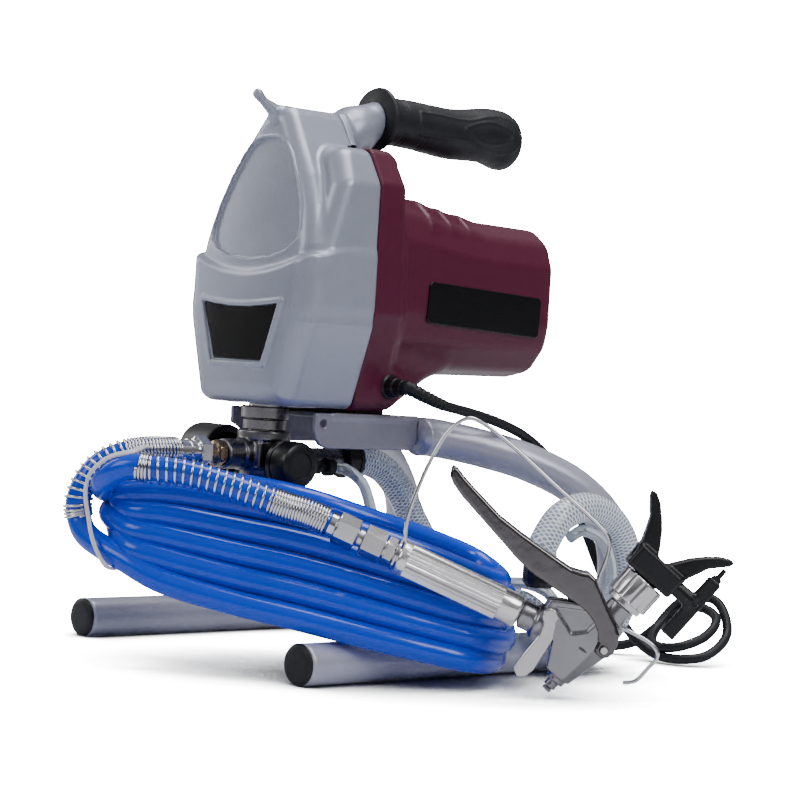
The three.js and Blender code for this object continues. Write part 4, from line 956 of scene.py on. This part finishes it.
def plug():
    body = [(0.02, 0), (5.6, 0), (6.2, 1), (7.6, 6), (9.2, 11), (12, 18), (14.4, 24), (16.6, 27.5), (17, 29),
            (17, 36.6), (16.2, 37.8), (0.02, 38)]
    pin_line = [(0.02, 0), (2.4, 0), (2.4, 17.6), (1.6, 19.2), (0.02, 19.4)]
    shell = lathe("plug_body", body, at(PLUG_X, PLUG_Y, PLUG_Z), (1, 0, 0), 64)
    made = [piece(shell, "machine", "black_rubber", RUBBER, "mains_plug")]
    for name, side in (("left", -1), ("right", 1)):
        place = at(PLUG_X + 37.6, PLUG_Y + PIN_HALF_GAP * side, PLUG_Z)
        pin = lathe("plug_pin_" + name, pin_line, place, (1, 0, 0), 24)
        made.append(piece(pin, "machine", "polished_steel", CHROME))
    return made


# ------------------------------------------------------------------ hoses and lead
def row(points):
    return [at(*p) for p in points]


HOSE_Z = 144.0      # height of the pump's outlet
HOSE_D = 16.8
WIRE_R = 0.95       # of the spring guards
HOSE_STEP = 0.002   # metres, as are the lengths of the spring guards
PUMP_GUARD, GUN_GUARD = 0.098, 0.133
COIL_TURNS = 5

# Stations round the bundled hose: along the lean, then (outwards, up) of its highest and lowest strand.
COIL_STATIONS = [
    (-32, (42, 118), (62, 71)), (-10, (46, 119), (69, 63)), (35, (46, 114), (74, 52)),
    (80, (46, 107), (76, 43)), (125, (46, 96), (74, 33)), (165, (45, 84), (68, 24)),
    (200, (38, 72), (57, 17)), (219, (10, 66), (6, 14)), (203, (-14, 77), (-46, 41)),
    (168, (-4, 89), (-54, 52)), (125, (14, 102), (-46, 69)), (80, (22, 114), (-40, 82)),
    (35, (16, 120), (-40, 92)), (-10, (2, 122), (-38, 96)), (-32, (0, 119), (-22, 99)),
    (-48, (20, 116), (26, 90)),
]
LEFT_END, RIGHT_END = -40, 195
BULGE = 3


def coil_line():
    """The turns, from the lowest strand up, without the first and last station, where the ends join on.

    Turns reach further and less far at the bundle's ends by turns, so that the strands bunch.
    """
    count = len(COIL_STATIONS)
    points = []
    for i in range(1, count * COIL_TURNS - 1):
        turn, station = divmod(i, count)
        s, high, low = COIL_STATIONS[station]
        drop = (1 - (turn + station / count) / COIL_TURNS - 0.16) / 0.8
        d = high[0] + (low[0] - high[0]) * drop
        z = high[1] + (low[1] - high[1]) * drop
        bulge = BULGE if turn % 2 else -BULGE
        if s < LEFT_END:
            s -= bulge
        if s > RIGHT_END:
            s += bulge
        points.append(lean(s, d, z))
    return points


PUMP_HOSE = row([
    (0, -15, HOSE_Z), (0, -24, HOSE_Z), (-4, -38, HOSE_Z - 0.5), (-12, -52, HOSE_Z - 4),
    (-19.5, -64, HOSE_Z - 12), (-24.5, -71, HOSE_Z - 24), (-26.5, -74.5, HOSE_Z - 38),
    (-25, -73, HOSE_Z - 50),
])
GUN_HOSE = [lean(*p) for p in (
    (-24, 68.5, 134.5), (5, 69.5, 132.5), (42, 70, 123.5), (70, 70, 114.5), (84.2, 70, 111.4),
    (97.2, 70, 106.3),
)]


def paint_hose():
    """From the pump, down into the bundle, round it and up again to the gun."""
    joining = [lean(-65, 39, 86), lean(-53, 50, 79.5), lean(-36, 60, 72.5)]
    rising = [lean(-51, 16, 116.5), lean(-55, 36, 117), lean(-53, 54, 123), lean(-46, 63, 130),
              lean(-34, 67, 135)]
    line = smooth(PUMP_HOSE + joining + coil_line() + rising + GUN_HOSE, HOSE_STEP)
    hose = sweep("paint_hose", even(line, 2 * HOSE_STEP), HOSE_D / 2 * MM, 28)
    piece(hose, "machine", "blue_hose", BLUE, "hose_coil", "hose_guard_gun", "hose_guard_pump")
    wound = (HOSE_D / 2 + 0.8) * MM
    near, far = line[:int(PUMP_GUARD / HOSE_STEP)], line[-int(GUN_GUARD / HOSE_STEP):]
    guards = [
        spring("spring_pump", near, wound, WIRE_R * MM,
               [(0, 0.002), (0.36, 0.002), (0.4, 0.0046), (0.9, 0.0052), (0.93, 0.002), (1, 0.002)]),
        spring("spring_gun", far, wound, WIRE_R * MM,
               [(0, 0.002), (0.05, 0.002), (0.08, 0.0057), (0.68, 0.0053), (0.71, 0.002), (1, 0.002)]),
    ]
    for guard in guards:
        piece(guard, "machine", "polished_steel", CHROME)
    tie()
    swivel_pump()
    swivel_gun()


def strap(name, points):
    """A flat plastic strip round the bundle: a closed loop with its broad side against the hose."""
    points = [lean(*p) for p in points]
    middle = np.mean(points, axis=0)
    line = smooth(points[-2:] + points + points[:2], 0.003)
    tangent, _, _ = frames(line)
    outward = line - middle
    outward -= tangent * np.sum(outward * tangent, 1)[:, None]
    outward /= np.linalg.norm(outward, axis=1)[:, None]
    across = np.cross(tangent, outward)
    section = [(1.9, -0.35), (1.9, 0.35), (1.5, 0.7), (-1.5, 0.7), (-1.9, 0.35), (-1.9, -0.35), (-1.5, -0.7),
               (1.5, -0.7)]
    verts = [p + MM * (a * c + b * o) for p, c, o in zip(line, across, outward) for a, b in section]
    faces = tube_faces(len(line), len(section)) + end_faces(len(line), len(section))
    return piece(mesh_object(name, verts, faces), "machine", "clear_hose", TIE)


def tie():
    """The white strip that holds the bundle at its left end."""
    return strap("tie_left", [(-34, 68, 144.6), (-48, 66, 140.5), (-61, 61, 129), (-64.5, 57, 117),
                              (-61.5, 58, 99),
                              (-56, 64, 82), (-47, 66, 68), (-36, 40, 66), (-30, -20, 84), (-28, -42, 104),
                              (-26, -14, 138), (-28, 34, 147)])


# The suction hose's loop stands upright, clear of the stand, and the return tube follows it inside.
LOOP = {"x": 150.0, "y": 237.0, "z": 69.0, "r": 50.0}
CLIP_GAP = 1.5      # between the two tubes
STRAINER_Y, STRAINER_TOP = 196.0, 86.0
SUCTION_R, RETURN_R, CORD_R = 10.8, 4.2, 3.7


def on_loop(degrees, radius=LOOP["r"]):
    angle = math.radians(degrees)
    return (LOOP["x"], LOOP["y"] + radius * math.cos(angle), LOOP["z"] + radius * math.sin(angle))


def suction_hose():
    route = row([
        (0, 149.4, 140), (0, 158, 140), (1, 176, 134), (4, 193, 117), (9, 204, 95), (20, 213, 74),
        (44, 220, 58),
        (76, 219, 50), (106, 212, 47), (130, 204, 46), (142, 207, 38),
        *[on_loop(a) for a in (-118, -90, -60, -30, 0, 30, 60, 90)], on_loop(120, 49),
        on_loop(148, 46.5), (LOOP["x"], STRAINER_Y, 90), (LOOP["x"], STRAINER_Y, STRAINER_TOP),
    ])
    line = smooth(route, 0.003)
    hose = sweep("suction_line", line, SUCTION_R * MM, 40)
    piece(hose, "machine", "clear_hose", BRAID, "suction_hose")


def return_hose():
    inner = LOOP["r"] - SUCTION_R - RETURN_R - CLIP_GAP
    route = row([
        (19.5, 111.8, 136), (19.6, 122, 135), (21, 139, 125), (22, 148, 107), (24, 154, 86), (34, 164, 69),
        (62, 178, 60), (94, 188, 60), (118, 195, 62.5), (134, 202, 63), (145, 210, 58),
        on_loop(-138, inner - 4), on_loop(-110, inner), on_loop(-90, inner), on_loop(-45, inner),
        on_loop(0, inner), on_loop(45, inner), on_loop(90, inner), on_loop(115, inner - 2),
    ])
    line = smooth(route, 0.003)
    hose = sweep("return_line", line, RETURN_R * MM, 24)
    piece(hose, "machine", "clear_hose", CLEAR, "return_tube")


COIL_X, COIL_Y = -55.0, 265.0
OUTER_TURN, INNER_TURN = 44.0, 36.4
LOW_LAYER, HIGH_LAYER = 4.2, 11.8
LEAD_TURNS, PER_TURN = 3.5, 16
SLEEVE_POINTS, SLEEVE_STEP = 70, 0.0005     # the strain relief's path: its points, and metres between them


def spare_turns():
    """Two turns side by side on the floor, then back outwards on top of them."""
    points = []
    for i in range(1, int(LEAD_TURNS * PER_TURN) + 1):
        turn = i / PER_TURN
        angle = math.pi / 2 + turn * 2 * math.pi
        radius = np.interp(turn, (0, 0.6, 0.95, 2.55, 2.9),
                           (OUTER_TURN, OUTER_TURN, INNER_TURN, INNER_TURN, OUTER_TURN))
        level = np.interp(turn, (0, 1.6, 1.95), (LOW_LAYER, LOW_LAYER, HIGH_LAYER))
        points.append((COIL_X + radius * math.cos(angle), COIL_Y + radius * math.sin(angle), level))
    return points


def mains_lead():
    """From the gland over the stand, in a loop behind the gun, and under the machine to its spare turns."""
    free = [
        (68.1, 132, 196), (71.5, 132.2, 196), (77, 140, 192), (80, 158, 185.6), (80, 186, 180.6),
        (79, 217, 174.2),
        (76, 250, 163.7), (77, 275, 147), (84, 302, 108), (93, 326, 58), (103, 342, 24), (118, 352, 8),
        (140, 354, 4.4), (158, 372, 8), (156, 398, 24), (134, 408, 46), (112, 398, 44), (106, 374, 22),
        (120, 356, 12.5), (142, 356, 13), (152, 378, 22), (146, 396, 34), (126, 398, 40), (108, 386, 30),
        (92, 366, 10), (70, 346, 4.4), (40, 328, 4.4), (0, 316, 4.4), (-30, 314, 4.4),
    ]
    tail = [(COIL_X + 18, COIL_Y - 48, 15), (COIL_X + 29, COIL_Y - 50, 17.3),
            (COIL_X + 35.6, COIL_Y - 50, 17.3)]
    line = smooth(row(free + spare_turns() + tail), 0.003)
    lead = sweep("mains_lead", line, CORD_R * MM, 16)
    piece(lead, "machine", "black_rubber", RUBBER, "mains_cord", "mains_coil")
    sleeve_line = smooth(row(free), SLEEVE_STEP)[:SLEEVE_POINTS]
    along = np.linspace(0, 1, len(sleeve_line))
    ribs = 0.35 * (np.sin(along * 2 * math.pi * 9) > 0)
    sleeve = sweep("strain_relief", sleeve_line, (5.3 - 1.1 * along - ribs * (along < 0.94)) * MM, 24)
    piece(sleeve, "machine", "black_rubber", RUBBER)
    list(plug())


paint_hose()
suction_hose()
return_hose()
mains_lead()
front_cover()
motor_shroud()
label()
handle()
handle_sleeve()
stand_legs()
bracket()
gland()
pump_pieces()
gun_line()
gun_handle()
gun_body()
trigger()
trigger_lock()
nut_and_tip()
for node_obj in NODES.values():
    if not node_obj.hide_render:
        edge = node_obj.modifiers.new("edge", "BEVEL")
        edge.width, edge.segments, edge.limit_method = 0.0004, 2, "ANGLE"
        edge.angle_limit = math.radians(40)


# ------------------------------------------------------------------ studio
def empty_graph(owner):
    owner.use_nodes = True
    owner.node_tree.nodes.clear()
    return owner.node_tree.nodes, owner.node_tree.links


def split_by_camera(node, link, others, camera, out):
    """What the camera sees directly is the one shader; light and reflections meet the other."""
    path, mix = node.new("ShaderNodeLightPath"), node.new("ShaderNodeMixShader")
    link.new(path.outputs["Is Camera Ray"], mix.inputs["Fac"])
    link.new(others, mix.inputs[1])
    link.new(camera, mix.inputs[2])
    link.new(mix.outputs["Shader"], out.inputs["Surface"])


SEEN_WHITE = 40.0       # strength of what is seen as plain white
# the darkest glow of the floor's painted contact shadow
PAINTED_CONTACT_SHADOW = 0.3           # strength of the floor where something touches it


def white_room():
    """Seen directly the room is plain white; in reflections it is a soft grey dome with a dark waist."""
    world = bpy.data.worlds.new("studio")
    node, link = empty_graph(world)
    out = node.new("ShaderNodeOutputWorld")
    seen = set_inputs(node.new("ShaderNodeBackground"), Color=(1, 1, 1, 1), Strength=SEEN_WHITE)
    dome = set_inputs(node.new("ShaderNodeBackground"), Strength=0.5)
    where, split = node.new("ShaderNodeTexCoord"), node.new("ShaderNodeSeparateXYZ")
    ramp = node.new("ShaderNodeValToRGB")
    link.new(where.outputs["Generated"], split.inputs["Vector"])
    link.new(split.outputs["Z"], ramp.inputs["Fac"])
    stops = ramp.color_ramp.elements
    stops[0].position, stops[0].color = 0.0, (0.75, 0.77, 0.8, 1)
    stops[1].position, stops[1].color = 1.0, (1, 1, 1, 1)
    for place, value in ((0.04, 0.25), (0.3, 0.35), (0.6, 0.8)):
        stops.new(place).color = (value, value, value * 1.04, 1)
    link.new(ramp.outputs["Color"], dome.inputs["Color"])
    split_by_camera(node, link, dome.outputs["Background"], seen.outputs["Background"], out)
    bpy.context.scene.world = world


def white_floor():
    """White where it is open; near anything that stands on it, darkened by a painted contact shadow (ambient
    occlusion dims its glow) and faintly mirroring through a glossy reflection.
    """
    mat = bpy.data.materials.new("floor")
    node, link = empty_graph(mat)
    out = node.new("ShaderNodeOutputMaterial")
    # painted contact shadow: ambient occlusion lowers the floor's glow near whatever stands on it
    near = set_inputs(node.new("ShaderNodeAmbientOcclusion"), Distance=0.16)
    near.samples = 8
    painted_shadow_strength = set_inputs(node.new("ShaderNodeMapRange"), From_Min=0.1, From_Max=0.93,
                      To_Min=math.log(PAINTED_CONTACT_SHADOW), To_Max=math.log(SEEN_WHITE))
    link.new(near.outputs["AO"], painted_shadow_strength.inputs["Value"])
    power = node.new("ShaderNodeMath")
    power.operation = "EXPONENT"
    link.new(painted_shadow_strength.outputs["Result"], power.inputs[0])
    shine = set_inputs(node.new("ShaderNodeEmission"), Color=(0.97, 0.98, 1, 1))
    link.new(power.outputs["Value"], shine.inputs["Strength"])
    plain = set_inputs(node.new("ShaderNodeBsdfDiffuse"), Color=(0.75, 0.76, 0.8, 1))
    gloss = set_inputs(node.new("ShaderNodeBsdfGlossy"), Color=(0.8, 0.82, 0.92, 1), Roughness=0.09)
    clear = set_inputs(node.new("ShaderNodeMapRange"), From_Min=0.3, From_Max=0.9)
    link.new(near.outputs["AO"], clear.inputs["Value"])
    seen = node.new("ShaderNodeMixShader")
    link.new(clear.outputs["Result"], seen.inputs["Fac"])
    link.new(gloss.outputs["BSDF"], seen.inputs[1])
    link.new(shine.outputs["Emission"], seen.inputs[2])
    split_by_camera(node, link, plain.outputs["BSDF"], seen.outputs["Shader"], out)
    corners = [(x, y, -0.0005) for x, y in ((-4, -3), (4, -3), (4, 12), (-4, 12))]
    floor = mesh_object("floor", corners, [(0, 1, 2, 3)], flat=True)
    paint(floor, mat)


def lamps():
    """Four soft lamps: name, place, point aimed at, size and power."""
    for name, place, aim, size, power in (
        ("key", (-0.3, -1.8, 1.2), (0, 0, 0.22), (0.9, 0.9), 9),
        ("left", (-1.7, -0.6, 0.9), (0, 0, 0.25), (0.5, 1.5), 10),
        ("top", (0.1, 0.3, 1.9), (0, 0, 0.2), (1.2, 0.8), 22),
        ("right", (1.7, 0.2, 1.5), (0, 0, 0.25), (0.7, 1.0), 17),
    ):
        data = bpy.data.lights.new(name, "AREA")
        data.shape, data.size, data.size_y, data.energy = "RECTANGLE", *size, power
        lamp = bpy.data.objects.new(name, data)
        lamp.location = place
        lamp.rotation_mode = "QUATERNION"
        lamp.rotation_quaternion = (Vector(aim) - Vector(place)).to_track_quat("-Z", "Y")
        bpy.context.scene.collection.objects.link(lamp)


white_room()
white_floor()
lamps()
